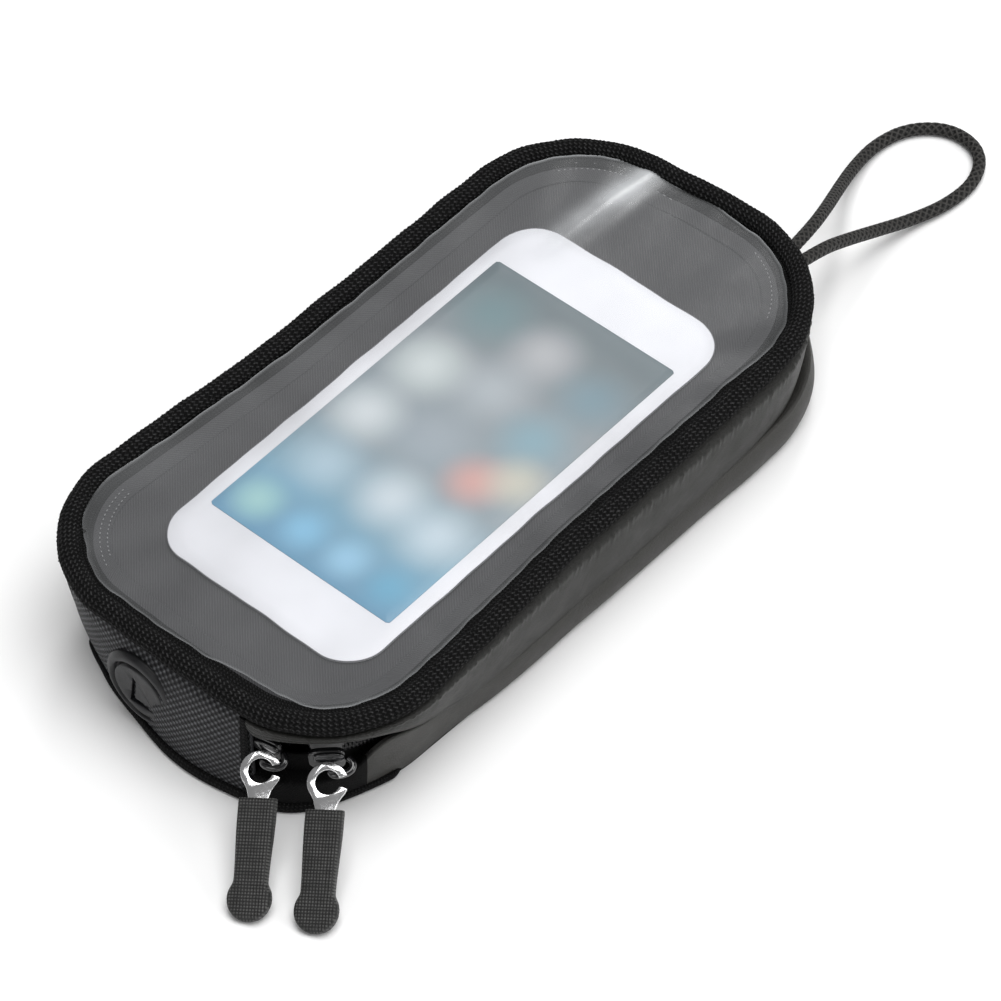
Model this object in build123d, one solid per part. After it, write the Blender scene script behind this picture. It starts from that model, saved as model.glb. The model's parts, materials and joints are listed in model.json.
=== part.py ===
"""Small motorcycle tank bag with a clear window lid, built as separate pieces.

Millimetres, +Z up, +Y from the cable-port end to the loop end.
The origin is the middle of the base, on the surface that the bag rests on.
"""
from build123d import *
import math
import os

os.makedirs("parts", exist_ok=True)

# ---------------------------------------------------------------- plan outline
NEAR_Y = -100.8          # outermost point of the port end
NEAR_VERTEX = (57.0, -97.0)
NEAR_RADIUS = 33.0
WAIST_VERTEX = (51.2, -12.0)
WAIST_RADIUS = 200.0
FAR_Y = 101.3            # outermost point of the loop end
FAR_VERTEX = (51.3, 99.6)
FAR_RADIUS = 37.5
CORNER_CENTRE = (21.6, -67.2)   # centre of the port end's right corner arc
FAR_CENTRE = (13.6, 63.7)       # centre of the loop end's right corner arc

# ---------------------------------------------------------------- heights
SKIN = 0.8               # base skin thickness
FOAM_TOP = 3.0
BOARD_TOP = 4.0
FLOOR_TOP = 4.5
TRAY_TOP = 10.5          # top of the shallow lower wall
CHAIN_Z = 20.0           # parting line of the zipper
CHAIN_HALF = 3.1         # height of each half of the coil
FLAP_EDGE = 11.0         # lower edge of the rain flap along the sides
FLAP_EDGE_CORNER = 24.3  # lower edge of the rain flap round the port end's corners
FLAP_STEP_ANGLE = -28.3  # where the flap drops to its full depth, round the corner arc
WALL_TOP = 30.8
PANEL_TOP = 30.0
PIPING_RADIUS = 3.1
PIPING_Z = 33.5
FILM_Z = 33.2
FILM_THICKNESS = 0.5

# ---------------------------------------------------------------- insets from the outline
FLAP_INSET = 0.2
CLOTH = 1.2              # thickness of coated cloth
TRAY_INSET = 0.9
PANEL_INSET = 0.8
PANEL_CLOTH = 1.5
CHAIN_INSET = 5.5        # middle of the zipper
CHAIN_THICKNESS = 2.6
TAPE_THICKNESS = 0.8
LINING_INSET = 7.0
CORE_INSET = 2.5         # foam, board and floor inside the tray
POCKET_INSET = 9.4

# ---------------------------------------------------------------- port end panel
PANEL_LEFT = -41.0
PANEL_RIGHT = 25.5
SEAM_GAP = 0.4
TRACK_START = 26.2       # the zipper begins right of the panel's seam

# ---------------------------------------------------------------- cable port
PORT_X = -8.5
PORT_Z = 16.2
PORT_FLANGE_R = 11.0
PORT_BARREL_R = 8.8
PORT_MEMBRANE_R = 7.4
PORT_WASHER_R = 9.8
PORT_FACE_Y = -102.6     # outer face of the flange
PORT_SEAT_Y = -100.15    # where the flange meets the panel
PORT_BACK_Y = -95.3
SLIT = 0.5

# ---------------------------------------------------------------- sliders and pulls
TRACK_R = NEAR_RADIUS - CHAIN_INSET
SLIDER_ANGLES = {1: -76.5, 2: -47.5}   # degrees round the corner arc
SLIDER_HALF_ANGLE = 9.2
SLIDER_CLEARANCE = 0.35
SLIDER_WING = 1.3
SLIDER_HALF_HEIGHT = 3.6
BAIL_WIRE = 0.8
BAIL_REACH = 3.9
BAIL_HALF_HEIGHT = 2.5
PULL_STANDOFF = 1.9      # from the slider's face to the pull's hinge line
PULL_DIRECTION = (0.58, -0.815)        # plan direction in which the pulls lie
RING_OUTER_R = 4.7
RING_HOLE_R = 3.0
LINK_THICKNESS = 1.2
LINK_END = 15.0          # how far the metal link runs into the grip
GRIP_START = 10.4
GRIP_END = 39.5
GRIP_WIDTH = 9.4
GRIP_BULB_R = 5.5
GRIP_THICKNESS = 3.0
GRIP_FLOOR_GAP = 0.2

# ---------------------------------------------------------------- insert card
CARD = (67.0, 138.1, 0.8)
CARD_RADIUS = 11.0
CARD_CENTRE = (3.5, -6.0)
CARD_Z = 32.1
PRINT = (58.5, 104.0, 0.15)

# ---------------------------------------------------------------- cord loop
CORD_DIAMETER = 3.4
CORD_ROUTE = [
    (25.2, 96.5, 27.6),
    (23.6, 108.2, 26.4),
    (18.3, 121.6, 20.2),
    (10.6, 136.6, 10.8),
    (4.6, 150.0, 4.0),
    (2.4, 162.0, 1.9),
    (5.4, 172.6, 1.8),
    (14.4, 179.6, 1.8),
    (25.4, 178.0, 1.8),
    (31.0, 168.6, 1.8),
    (30.6, 157.0, 1.9),
    (27.2, 145.6, 2.8),
    (25.8, 133.2, 8.0),
    (26.6, 120.6, 15.6),
    (28.2, 107.6, 23.6),
    (29.0, 95.1, 27.4),
]


# ================================================================ helpers
def outline():
    """Plan outline of the piping's outer edge, as a face."""
    near_x, near_y = NEAR_VERTEX
    far_x, far_y = FAR_VERTEX
    waist_x, waist_y = WAIST_VERTEX
    with BuildSketch() as sketch:
        with BuildLine():
            ThreePointArc((-near_x, near_y), (0, NEAR_Y), (near_x, near_y))
            Line((near_x, near_y), (waist_x, waist_y))
            Line((waist_x, waist_y), (far_x, far_y))
            ThreePointArc((far_x, far_y), (0, FAR_Y), (-far_x, far_y))
            Line((-far_x, far_y), (-waist_x, waist_y))
            Line((-waist_x, waist_y), (-near_x, near_y))
        make_face()
        corners = sketch.vertices()
        fillet([v for v in corners if abs(v.Y - near_y) < 1], NEAR_RADIUS)
        fillet([v for v in sketch.vertices() if abs(v.Y - far_y) < 1 and abs(v.X) > 50], FAR_RADIUS)
        waist = [v for v in sketch.vertices() if abs(v.Y - waist_y) < 1]
        fillet(waist, WAIST_RADIUS)
    return sketch.sketch.faces()[0]


OUTLINE = outline()


def plan(inset):
    """The outline moved inwards by inset."""
    if inset == 0:
        return OUTLINE
    return offset(OUTLINE, amount=-inset).faces()[0]


def plate(inset, low, high):
    """A flat sheet that fills the outline."""
    return Pos(0, 0, low) * extrude(plan(inset), amount=high - low)


def ring(outer_inset, inner_inset, low, high):
    """A wall that follows the outline."""
    return plate(outer_inset, low, high) - plate(inner_inset, low, high)


def block(low, high):
    """A box between two corners."""
    size = [b - a for a, b in zip(low, high)]
    middle = [(a + b) / 2 for a, b in zip(low, high)]
    return Pos(*middle) * Box(*size)


def port_end(left, right):
    """The space around the port end between two seams."""
    return block((left, -130, -5), (right, -75, 60))


def sector(inner_r, outer_r, start, end, low, high):
    """A curved bar round the right corner's centre, between two angles in degrees."""
    cx, cy = CORNER_CENTRE

    def point(radius, angle):
        turn = math.radians(angle)
        return (cx + radius * math.cos(turn), cy + radius * math.sin(turn))

    middle = (start + end) / 2
    with BuildSketch() as sketch:
        with BuildLine():
            ThreePointArc(point(outer_r, start), point(outer_r, middle), point(outer_r, end))
            Line(point(outer_r, end), point(inner_r, end))
            ThreePointArc(point(inner_r, end), point(inner_r, middle), point(inner_r, start))
            Line(point(inner_r, start), point(outer_r, start))
        make_face()
    return Pos(0, 0, low) * extrude(sketch.sketch, amount=high - low)


def track_zone(start, end):
    """Everything near the corner arc between two angles."""
    return sector(12.0, 45.0, start, end, -5, 60)


def y_cylinder(x, z, radius, low_y, high_y):
    """A round bar along Y."""
    bar = Cylinder(radius, high_y - low_y, rotation=(90, 0, 0))
    return Pos(x, (low_y + high_y) / 2, z) * bar


def save(shape, node):
    export_step(shape, f"parts/{node}.step")


# ================================================================ tub
def base_skin():
    return plate(0.9, 0, SKIN)


def bottom_binding():
    return ring(-0.3, 0.75, 0.1, 3.4)


def magnet_places():
    return [(x, y) for x in (-26.0, 26.0) for y in (-62.0, 0.0, 62.0)]


def magnet(x, y, radius, low, high):
    return Pos(x, y, (low + high) / 2) * Cylinder(radius, high - low)


def base_foam():
    foam = plate(CORE_INSET, SKIN, FOAM_TOP)
    for x, y in magnet_places():
        foam -= magnet(x, y, 10.1, SKIN, FOAM_TOP)
    return foam


def magnets():
    return Compound([magnet(x, y, 10.0, SKIN, FOAM_TOP - 0.2) for x, y in magnet_places()])


def base_board():
    return plate(CORE_INSET, FOAM_TOP, BOARD_TOP)


def floor_lining():
    return plate(CORE_INSET, BOARD_TOP, FLOOR_TOP)


def lower_wall():
    """Shallow coated-cloth tray wall with a ledge that carries the zipper."""
    upright = ring(TRAY_INSET, TRAY_INSET + CLOTH, SKIN, TRAY_TOP)
    ledge = ring(TRAY_INSET, CHAIN_INSET + 0.7, TRAY_TOP - 1.0, TRAY_TOP)
    wall = upright + ledge
    return wall - port_end(PANEL_LEFT - SEAM_GAP, PANEL_RIGHT + SEAM_GAP)


def side_lining():
    """Lining that stands up inside the tray wall."""
    wall = ring(LINING_INSET, LINING_INSET + 0.5, FLOOR_TOP, TRAY_TOP + 1.5)
    return wall - port_end(PANEL_LEFT - 2, TRACK_START)


def end_panel():
    """Woven end panel from the base to the piping, with the port's hole."""
    wall = ring(PANEL_INSET, PANEL_INSET + PANEL_CLOTH, SKIN, PANEL_TOP)
    panel = wall & port_end(PANEL_LEFT, PANEL_RIGHT)
    return panel - y_cylinder(PORT_X, PORT_Z, PORT_BARREL_R + 0.1, -120, -80)


def end_panel_foam():
    wall = ring(PANEL_INSET + PANEL_CLOTH, PANEL_INSET + PANEL_CLOTH + 1.6, FLOOR_TOP, PANEL_TOP - 0.5)
    panel = wall & port_end(PANEL_LEFT + 3, PANEL_RIGHT - 4.5)
    return panel - y_cylinder(PORT_X, PORT_Z, PORT_BARREL_R + 0.1, -120, -80)


def end_panel_lining():
    inset = PANEL_INSET + PANEL_CLOTH + 1.6
    wall = ring(inset, inset + 0.4, FLOOR_TOP, PANEL_TOP - 0.5)
    panel = wall & port_end(PANEL_LEFT + 3, PANEL_RIGHT - 4.5)
    return panel - y_cylinder(PORT_X, PORT_Z, PORT_BARREL_R + 0.1, -120, -80)


def seam_binding(x):
    """Knit tape over an upright seam of the end panel."""
    strip = ring(-0.3, PANEL_INSET - 0.02, 3.6, PANEL_TOP - 0.4)
    return strip & port_end(x - 1.6, x + 1.6)


# ================================================================ cable port
def port_slit_corner():
    return (PORT_X - 2.6, PORT_Z - 3.4)


def port_tongue_outline(shrink):
    """Right-angled tongue between the slit's two arms, in the XZ plane."""
    x, z = port_slit_corner()
    up, across = 8.2, 8.2
    low, cut = shrink, 2.4 * shrink
    return [(x + low, z + low), (x + across - cut, z + low), (x + low, z + up - cut)]


def xz_prism(points, low_y, high_y):
    """A prism along Y over a polygon given in X and Z."""
    face = Plane.XZ * make_face(Polyline(*points, close=True))
    solid = extrude(face, amount=high_y - low_y, dir=(0, 1, 0))
    return Pos(0, low_y - solid.bounding_box().min.Y, 0) * solid


def cable_port():
    """Rubber grommet: flange, barrel and slit membrane."""
    flange = y_cylinder(PORT_X, PORT_Z, PORT_FLANGE_R, PORT_FACE_Y, PORT_SEAT_Y)
    barrel = y_cylinder(PORT_X, PORT_Z, PORT_BARREL_R, PORT_SEAT_Y, PORT_BACK_Y)
    groove = y_cylinder(PORT_X, PORT_Z, 8.9, PORT_FACE_Y, PORT_FACE_Y + 0.5)
    groove -= y_cylinder(PORT_X, PORT_Z, 8.1, PORT_FACE_Y, PORT_FACE_Y + 0.5)
    hollow = y_cylinder(PORT_X, PORT_Z, PORT_MEMBRANE_R, PORT_FACE_Y + 1.4, PORT_BACK_Y)
    opening = xz_prism(port_tongue_outline(0), PORT_FACE_Y - 1, PORT_FACE_Y + 2)
    return flange + barrel - groove - hollow - opening


def port_tongue():
    return xz_prism(port_tongue_outline(SLIT), PORT_FACE_Y + 0.1, PORT_FACE_Y + 1.3)


def port_washer():
    washer = y_cylinder(PORT_X, PORT_Z, PORT_WASHER_R, PORT_BACK_Y - 0.5, PORT_BACK_Y + 0.4)
    return washer - y_cylinder(PORT_X, PORT_Z, PORT_BARREL_R, -120, -80)


# ================================================================ zipper
def zipper_tape(low, high):
    tape = ring(CHAIN_INSET - TAPE_THICKNESS / 2, CHAIN_INSET + TAPE_THICKNESS / 2, low, high)
    return tape - port_end(PANEL_LEFT - SEAM_GAP, TRACK_START)


def zipper_chain(low, high):
    """Half of the coil, from just past the second slider round to the left seam."""
    half = CHAIN_THICKNESS / 2
    coil = ring(CHAIN_INSET - half, CHAIN_INSET + half, low, high)
    clear = SLIDER_ANGLES[2] + SLIDER_HALF_ANGLE + 1.0
    open_stretch = track_zone(-92, clear)
    return coil - port_end(PANEL_LEFT - SEAM_GAP, TRACK_START) - open_stretch


def slider(number):
    """Slider body with two wings, a divider post and an upright bail."""
    angle = SLIDER_ANGLES[number]
    start, end = angle - SLIDER_HALF_ANGLE, angle + SLIDER_HALF_ANGLE
    low, high = CHAIN_Z - SLIDER_HALF_HEIGHT, CHAIN_Z + SLIDER_HALF_HEIGHT
    gap = CHAIN_THICKNESS / 2 + SLIDER_CLEARANCE
    inner = sector(TRACK_R - gap - SLIDER_WING, TRACK_R - gap, start, end, low, high)
    outer = sector(TRACK_R + gap, TRACK_R + gap + SLIDER_WING, start, end, low, high)
    post_end = start + 4.0
    post = sector(TRACK_R - gap - 0.2, TRACK_R + gap + 0.2, start, post_end, CHAIN_Z - 1.2, CHAIN_Z + 1.2)
    return inner + outer + post + bail(angle)


def track_point(radius, angle, z):
    turn = math.radians(angle)
    cx, cy = CORNER_CENTRE
    return Vector(cx + radius * math.cos(turn), cy + radius * math.sin(turn), z)


def bail(angle):
    """Upright wire arch on the slider's outer wing."""
    face_r = TRACK_R + CHAIN_THICKNESS / 2 + SLIDER_CLEARANCE + SLIDER_WING
    foot_r = face_r - 0.6
    low = track_point(foot_r, angle, CHAIN_Z - BAIL_HALF_HEIGHT)
    high = track_point(foot_r, angle, CHAIN_Z + BAIL_HALF_HEIGHT)
    top = track_point(face_r + BAIL_REACH, angle, CHAIN_Z)
    path = ThreePointArc(low, top, high)
    start = Plane(origin=low, z_dir=path % 0)
    return sweep(start * Circle(BAIL_WIRE), path=path)


# ================================================================ pulls
def pull_hinge(number):
    face_r = TRACK_R + CHAIN_THICKNESS / 2 + SLIDER_CLEARANCE + SLIDER_WING
    return track_point(face_r + PULL_STANDOFF, SLIDER_ANGLES[number], CHAIN_Z)


def pull_plane(number):
    """Local X across the pull, local Y along it from the hinge, sloping to the floor."""
    tip_height = GRIP_THICKNESS / 2 + GRIP_FLOOR_GAP
    drop = (CHAIN_Z - tip_height) / GRIP_END
    level = math.sqrt(1 - drop * drop)
    ux, uy = PULL_DIRECTION
    size = math.hypot(ux, uy)
    along = Vector(ux / size * level, uy / size * level, -drop)
    across = Vector(-uy / size, ux / size, 0)
    return Plane(origin=pull_hinge(number), x_dir=across, z_dir=across.cross(along))


def pull_link(number):
    """Flat metal link: an open ring that tapers into a tongue."""
    centre = (RING_OUTER_R + RING_HOLE_R) / 2
    disc = Pos(0, centre) * Circle(RING_OUTER_R)
    neck = make_face(Polyline(
        (-3.9, centre + 2.4), (3.9, centre + 2.4), (2.3, GRIP_START - 0.6), (2.3, LINK_END),
        (-2.3, LINK_END), (-2.3, GRIP_START - 0.6), close=True))
    hole = Pos(0, centre) * Circle(RING_HOLE_R)
    gap = Pos(RING_OUTER_R - 0.8, centre - 0.4) * Rectangle(3.6, 1.9)
    sheet = disc + neck - hole - gap
    solid = extrude(sheet, amount=LINK_THICKNESS / 2, both=True)
    return pull_plane(number) * solid


def grip_outline():
    """Grip with a slight waist and a round end."""
    half = GRIP_WIDTH / 2
    bulb_y = GRIP_END - GRIP_BULB_R
    body = make_face(Polyline(
        (-half, GRIP_START), (half, GRIP_START), (half - 0.5, bulb_y - 6.5), (half - 0.3, bulb_y),
        (-half + 0.3, bulb_y), (-half + 0.5, bulb_y - 6.5), close=True))
    return body + Pos(0, bulb_y) * Circle(GRIP_BULB_R)


def pull_grip(number):
    """Moulded rubber grip with a socket for the link's tongue."""
    solid = extrude(grip_outline(), amount=GRIP_THICKNESS / 2, both=True)
    socket = Pos(0, (GRIP_START + LINK_END) / 2, 0) * Box(4.7, LINK_END - GRIP_START, LINK_THICKNESS + 0.1)
    return pull_plane(number) * (solid - socket)


# ================================================================ lid
def piping_path():
    return Pos(0, 0, PIPING_Z) * plan(PIPING_RADIUS).outer_wire()


def round_tube(radius):
    path = piping_path()
    start = Plane(origin=path @ 0, z_dir=path % 0)
    return sweep(start * Circle(radius), path=path)


def window_film():
    return plate(2 * PIPING_RADIUS - 1.2, FILM_Z, FILM_Z + FILM_THICKNESS)


def top_piping():
    """Knit-covered piping, slotted where it grips the film."""
    return round_tube(PIPING_RADIUS) - round_tube(1.45) - window_film()


def piping_core():
    return round_tube(1.4)


def upper_wall():
    """Coated-cloth side wall of the lid, which ends in the rain flap over the zipper."""
    wall = ring(FLAP_INSET, FLAP_INSET + CLOTH, FLAP_EDGE, WALL_TOP)
    wall -= port_end(PANEL_LEFT - SEAM_GAP, PANEL_RIGHT + SEAM_GAP)
    short_flap = sector(12.0, 45.0, -92, FLAP_STEP_ANGLE, FLAP_EDGE - 5, FLAP_EDGE_CORNER)
    wall -= short_flap
    wall -= mirror(short_flap, about=Plane.YZ)
    for x, y in (CORD_ROUTE[0][:2], CORD_ROUTE[-1][:2]):
        wall -= Pos(x, y, CORD_ROUTE[0][2]) * Box(5.6, 16, 5.6)
    return wall


def loop_anchor():
    """Small sewn block behind the wall that holds both ends of the cord."""
    middle = [(a + b) / 2 for a, b in zip(CORD_ROUTE[0], CORD_ROUTE[-1])]
    heading = math.degrees(math.atan2(CORD_ROUTE[-1][1] - CORD_ROUTE[0][1],
                                      CORD_ROUTE[-1][0] - CORD_ROUTE[0][0]))
    depth = 1.1
    return Pos(*middle) * Rot(0, 0, heading) * Pos(0, -depth / 2 - 0.1, 0) * Box(11, depth, 6)


def lid_lining():
    """Border of lining under the film, which the pocket flap closes against."""
    return ring(2 * PIPING_RADIUS, 13.0, 32.6, 33.1)


def pocket_flap():
    return plate(POCKET_INSET, 31.4, 32.0)


def pocket_strip(low, high):
    return block((-30, -91.0, low), (21, -88.2, high))


def card():
    body = extrude(RectangleRounded(CARD[0], CARD[1], CARD_RADIUS), amount=CARD[2])
    return Pos(*CARD_CENTRE, CARD_Z) * body


def card_print():
    sheet = extrude(Rectangle(PRINT[0], PRINT[1]), amount=PRINT[2])
    return Pos(*CARD_CENTRE, CARD_Z + CARD[2]) * sheet


# ================================================================ cord loop
def corner_radii(points):
    """Arc radius at each inner point: as large as its two runs allow."""
    radii = []
    for before, here, after in zip(points, points[1:], points[2:]):
        arriving = Vector(*here) - Vector(*before)
        leaving = Vector(*after) - Vector(*here)
        half_turn = math.radians(arriving.get_angle(leaving)) / 2
        radii.append(0.45 * min(arriving.length, leaving.length) / math.tan(half_turn))
    return radii


def cord_loop():
    radii = corner_radii(CORD_ROUTE)
    print("cord radii", [round(r, 1) for r in radii])
    path = FilletPolyline(*CORD_ROUTE, radius=radii)
    start = Plane(origin=path @ 0, z_dir=path % 0)
    tube = sweep(start * Circle(CORD_DIAMETER / 2), path=path)
    section = math.pi * CORD_DIAMETER ** 2 / 4
    print("cord length", round(path.length, 1), "volume ratio", round(tube.volume / (section * path.length), 4))
    return tube


# ================================================================ write every piece
PIECES = {
    "base_skin": base_skin(),
    "bottom_binding": bottom_binding(),
    "base_foam": base_foam(),
    "base_magnets": magnets(),
    "base_board": base_board(),
    "floor_lining": floor_lining(),
    "lower_wall": lower_wall(),
    "side_lining": side_lining(),
    "end_panel": end_panel(),
    "end_panel_foam": end_panel_foam(),
    "end_panel_lining": end_panel_lining(),
    "seam_binding_left": seam_binding(PANEL_LEFT + 1.4),
    "seam_binding_right": seam_binding(PANEL_RIGHT - 1.4),
    "cable_port": cable_port(),
    "port_tongue": port_tongue(),
    "port_washer": port_washer(),
    "lower_zipper_tape": zipper_tape(TRAY_TOP, CHAIN_Z - CHAIN_HALF),
    "lower_zipper_chain": zipper_chain(CHAIN_Z - CHAIN_HALF, CHAIN_Z),
    "upper_zipper_tape": zipper_tape(CHAIN_Z + CHAIN_HALF, WALL_TOP - 0.3),
    "upper_zipper_chain": zipper_chain(CHAIN_Z, CHAIN_Z + CHAIN_HALF),
    "window_film": window_film(),
    "top_piping": top_piping(),
    "piping_core": piping_core(),
    "upper_wall": upper_wall(),
    "loop_anchor": loop_anchor(),
    "lid_lining": lid_lining(),
    "pocket_hook_strip": pocket_strip(32.3, 32.6),
    "pocket_loop_strip": pocket_strip(32.0, 32.3),
    "pocket_flap": pocket_flap(),
    "insert_card": card(),
    "card_print": card_print(),
    "cord_loop": cord_loop(),
}
for number in SLIDER_ANGLES:
    PIECES[f"slider_{number}"] = slider(number)
    PIECES[f"pull_link_{number}"] = pull_link(number)
    PIECES[f"pull_grip_{number}"] = pull_grip(number)

for node, shape in PIECES.items():
    save(shape, node)

for number in SLIDER_ANGLES:
    hinge = pull_hinge(number)
    print("pull hinge", number, [round(c, 2) for c in (hinge.X, hinge.Y, hinge.Z)])
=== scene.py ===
"""Looks of a small motorcycle tank bag with a clear window lid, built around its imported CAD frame.

Lengths are millimetres in the CAD's frame until a mesh is made. Lights and material scales use metres.
"""
import json
import math

import bmesh
import bpy
import numpy as np
from mathutils import Matrix, Vector


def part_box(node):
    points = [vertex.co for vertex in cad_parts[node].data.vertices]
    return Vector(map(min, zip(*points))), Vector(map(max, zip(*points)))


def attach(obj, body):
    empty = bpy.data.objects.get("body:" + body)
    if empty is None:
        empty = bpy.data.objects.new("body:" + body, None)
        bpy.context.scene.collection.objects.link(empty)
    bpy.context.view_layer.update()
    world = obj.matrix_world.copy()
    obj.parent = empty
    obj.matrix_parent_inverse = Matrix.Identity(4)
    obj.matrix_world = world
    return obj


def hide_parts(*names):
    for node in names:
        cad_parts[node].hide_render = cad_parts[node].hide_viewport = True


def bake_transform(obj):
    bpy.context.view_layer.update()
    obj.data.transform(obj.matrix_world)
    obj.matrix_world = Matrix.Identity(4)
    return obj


MM = 0.001
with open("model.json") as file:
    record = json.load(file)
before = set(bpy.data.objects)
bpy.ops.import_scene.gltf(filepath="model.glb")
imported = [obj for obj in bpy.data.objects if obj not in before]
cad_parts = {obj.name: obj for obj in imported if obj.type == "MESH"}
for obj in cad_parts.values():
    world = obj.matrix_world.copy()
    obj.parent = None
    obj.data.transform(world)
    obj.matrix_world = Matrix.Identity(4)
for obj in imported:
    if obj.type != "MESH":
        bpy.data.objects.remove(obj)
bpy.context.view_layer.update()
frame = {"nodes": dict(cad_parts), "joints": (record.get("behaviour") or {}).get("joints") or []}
NODES = frame["nodes"]
JOINTS = {joint["name"]: joint for joint in frame["joints"]}
RANDOM = np.random.default_rng(7)


def mm_box(node):
    """Lowest and highest corners of a CAD node, in mm."""
    low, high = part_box(node)
    return np.array(low) / MM, np.array(high) / MM


def add_object(name, data):
    """Object for a mesh, light or camera, linked into the scene."""
    obj = bpy.data.objects.new(name, data)
    bpy.context.scene.collection.objects.link(obj)
    return obj


# ---------------------------------------------------------------- camera
FOCAL_PIXELS = 5000.0
IMAGE_PIXELS = 1001.0
SENSOR_MM = 36.0
CAMERA_AT = Vector((572.3, -571.7, 945.3)) * MM
CAMERA_RIGHT = Vector((0.74488, 0.66620, -0.03646))
CAMERA_FORWARD = Vector((-0.45371, 0.46572, -0.75977))


def add_camera():
    camera = bpy.data.cameras.new("camera")
    camera.lens = SENSOR_MM * FOCAL_PIXELS / IMAGE_PIXELS
    camera.sensor_width = SENSOR_MM
    camera.clip_start = 0.01
    camera.clip_end = 20
    holder = add_object("camera", camera)
    forward = CAMERA_FORWARD.normalized()
    right = (CAMERA_RIGHT - forward * CAMERA_RIGHT.dot(forward)).normalized()
    up = right.cross(forward)
    turn = Matrix((right, up, -forward)).transposed()
    holder.matrix_world = Matrix.Translation(CAMERA_AT) @ turn.to_4x4()
    bpy.context.scene.camera = holder


# ---------------------------------------------------------------- material helpers
class Shade:
    """Small helper that chains shader nodes by function calls."""

    def __init__(self, name, colour=(0.5, 0.5, 0.5), roughness=0.6, **sockets):
        self.mat = bpy.data.materials.new(name)
        self.mat.use_nodes = True
        self.tree = self.mat.node_tree
        self.bsdf = self.tree.nodes["Principled BSDF"]
        self.bsdf.inputs["Base Color"].default_value = (*colour, 1)
        self.bsdf.inputs["Roughness"].default_value = roughness
        for key, value in sockets.items():
            self.bsdf.inputs[key.replace("_", " ")].default_value = value

    def node(self, kind, inputs=(), out=0, **props):
        made = self.tree.nodes.new(kind)
        for key, value in props.items():
            setattr(made, key, value)
        for key, value in dict(inputs).items():
            socket = made.inputs[key]
            if isinstance(value, bpy.types.NodeSocket):
                self.tree.links.new(value, socket)
            else:
                socket.default_value = value
        return made.outputs[out]

    def math(self, operation, a, b=0.0, c=0.0):
        return self.node("ShaderNodeMath", {0: a, 1: b, 2: c}, operation=operation)

    def plus(self, a, b):
        return self.math("ADD", a, b)

    def minus(self, a, b):
        return self.math("SUBTRACT", a, b)

    def times(self, a, b):
        return self.math("MULTIPLY", a, b)

    def over(self, a, b):
        return self.math("DIVIDE", a, b)

    def scaled(self, a, factor, offset):
        """a times factor, plus offset."""
        return self.math("MULTIPLY_ADD", a, factor, offset)

    def uv(self):
        """U and V in millimetres along and across the piece."""
        parts = self.split(self.node("ShaderNodeUVMap", uv_map="UVMap"))
        return parts[0], parts[1]

    def split(self, vector):
        """X, Y and Z of a vector."""
        made = self.tree.nodes.new("ShaderNodeSeparateXYZ")
        self.tree.links.new(vector, made.inputs[0])
        return made.outputs

    def place(self):
        """Place on the piece in the CAD's frame, in metres."""
        return self.node("ShaderNodeTexCoord", out=3)

    def noise(self, vector, scale, detail=3.0, roughness=0.55):
        return self.node("ShaderNodeTexNoise", {"Vector": vector, "Scale": scale,
                                                "Detail": detail, "Roughness": roughness})

    def wave(self, phase):
        """Sine of a phase counted in turns."""
        return self.math("SINE", self.math("MULTIPLY", phase, 2 * math.pi))

    def mix(self, factor, a, b):
        made = self.tree.nodes.new("ShaderNodeMix")
        made.data_type = "RGBA"
        for socket, value in ((made.inputs[0], factor), (made.inputs[6], a), (made.inputs[7], b)):
            if isinstance(value, bpy.types.NodeSocket):
                self.tree.links.new(value, socket)
            elif isinstance(value, tuple):
                socket.default_value = (*value, 1)
            else:
                socket.default_value = value
        return made.outputs[2]

    def remap(self, value, low, high, to_low=0.0, to_high=1.0):
        return self.node("ShaderNodeMapRange", {0: value, 1: low, 2: high, 3: to_low, 4: to_high})

    def bump(self, height, distance, strength=1.0, under=None):
        inputs = {"Height": height, "Distance": distance, "Strength": strength}
        if under is not None:
            inputs["Normal"] = under
        return self.node("ShaderNodeBump", inputs)

    def patchy(self, scale, detail, low, high):
        """Noise as soft patches that vary from low to high."""
        return self.remap(self.noise(self.place(), scale, detail), 0.3, 0.7, low, high)

    def set(self, **links):
        for key, value in links.items():
            self.tree.links.new(value, self.bsdf.inputs[key.replace("_", " ")])
        return self.mat

    def finish(self, tone, dark, light, height, depth):
        """Colour between dark and light by tone, with relief from height."""
        return self.set(Base_Color=self.mix(tone, dark, light), Normal=self.bump(height, depth))


def woven(name, dark, light, pitch, roughness=0.75, depth=0.00022, sheen=0.25):
    """Plain weave: threads pass over and under each other, with a little wear in the colour. The thread
    crowns are painted lighter as painted highlight, the dips between them darker as painted shade.
    """
    s = Shade(name, dark, roughness, Sheen_Weight=sheen, Sheen_Roughness=0.4, Specular_IOR_Level=0.18)
    u, v = s.uv()
    along = s.wave(s.over(u, 2 * pitch))
    across = s.wave(s.over(v, 2 * pitch))
    height = s.scaled(s.times(along, across), 0.5, 0.5)
    strand = s.wave(s.over(s.plus(u, v), pitch * 0.31))
    # painted highlight on the thread crowns and painted shade in the dips, times random patches of wear
    tone = s.times(s.math("POWER", height, 2.6), s.patchy(2600.0, 2.0, 0.45, 1.15))
    tone = s.times(tone, s.patchy(140.0, 4.0, 0.75, 1.1))
    return s.finish(tone, dark, light, s.scaled(strand, 0.08, height), depth)


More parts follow.
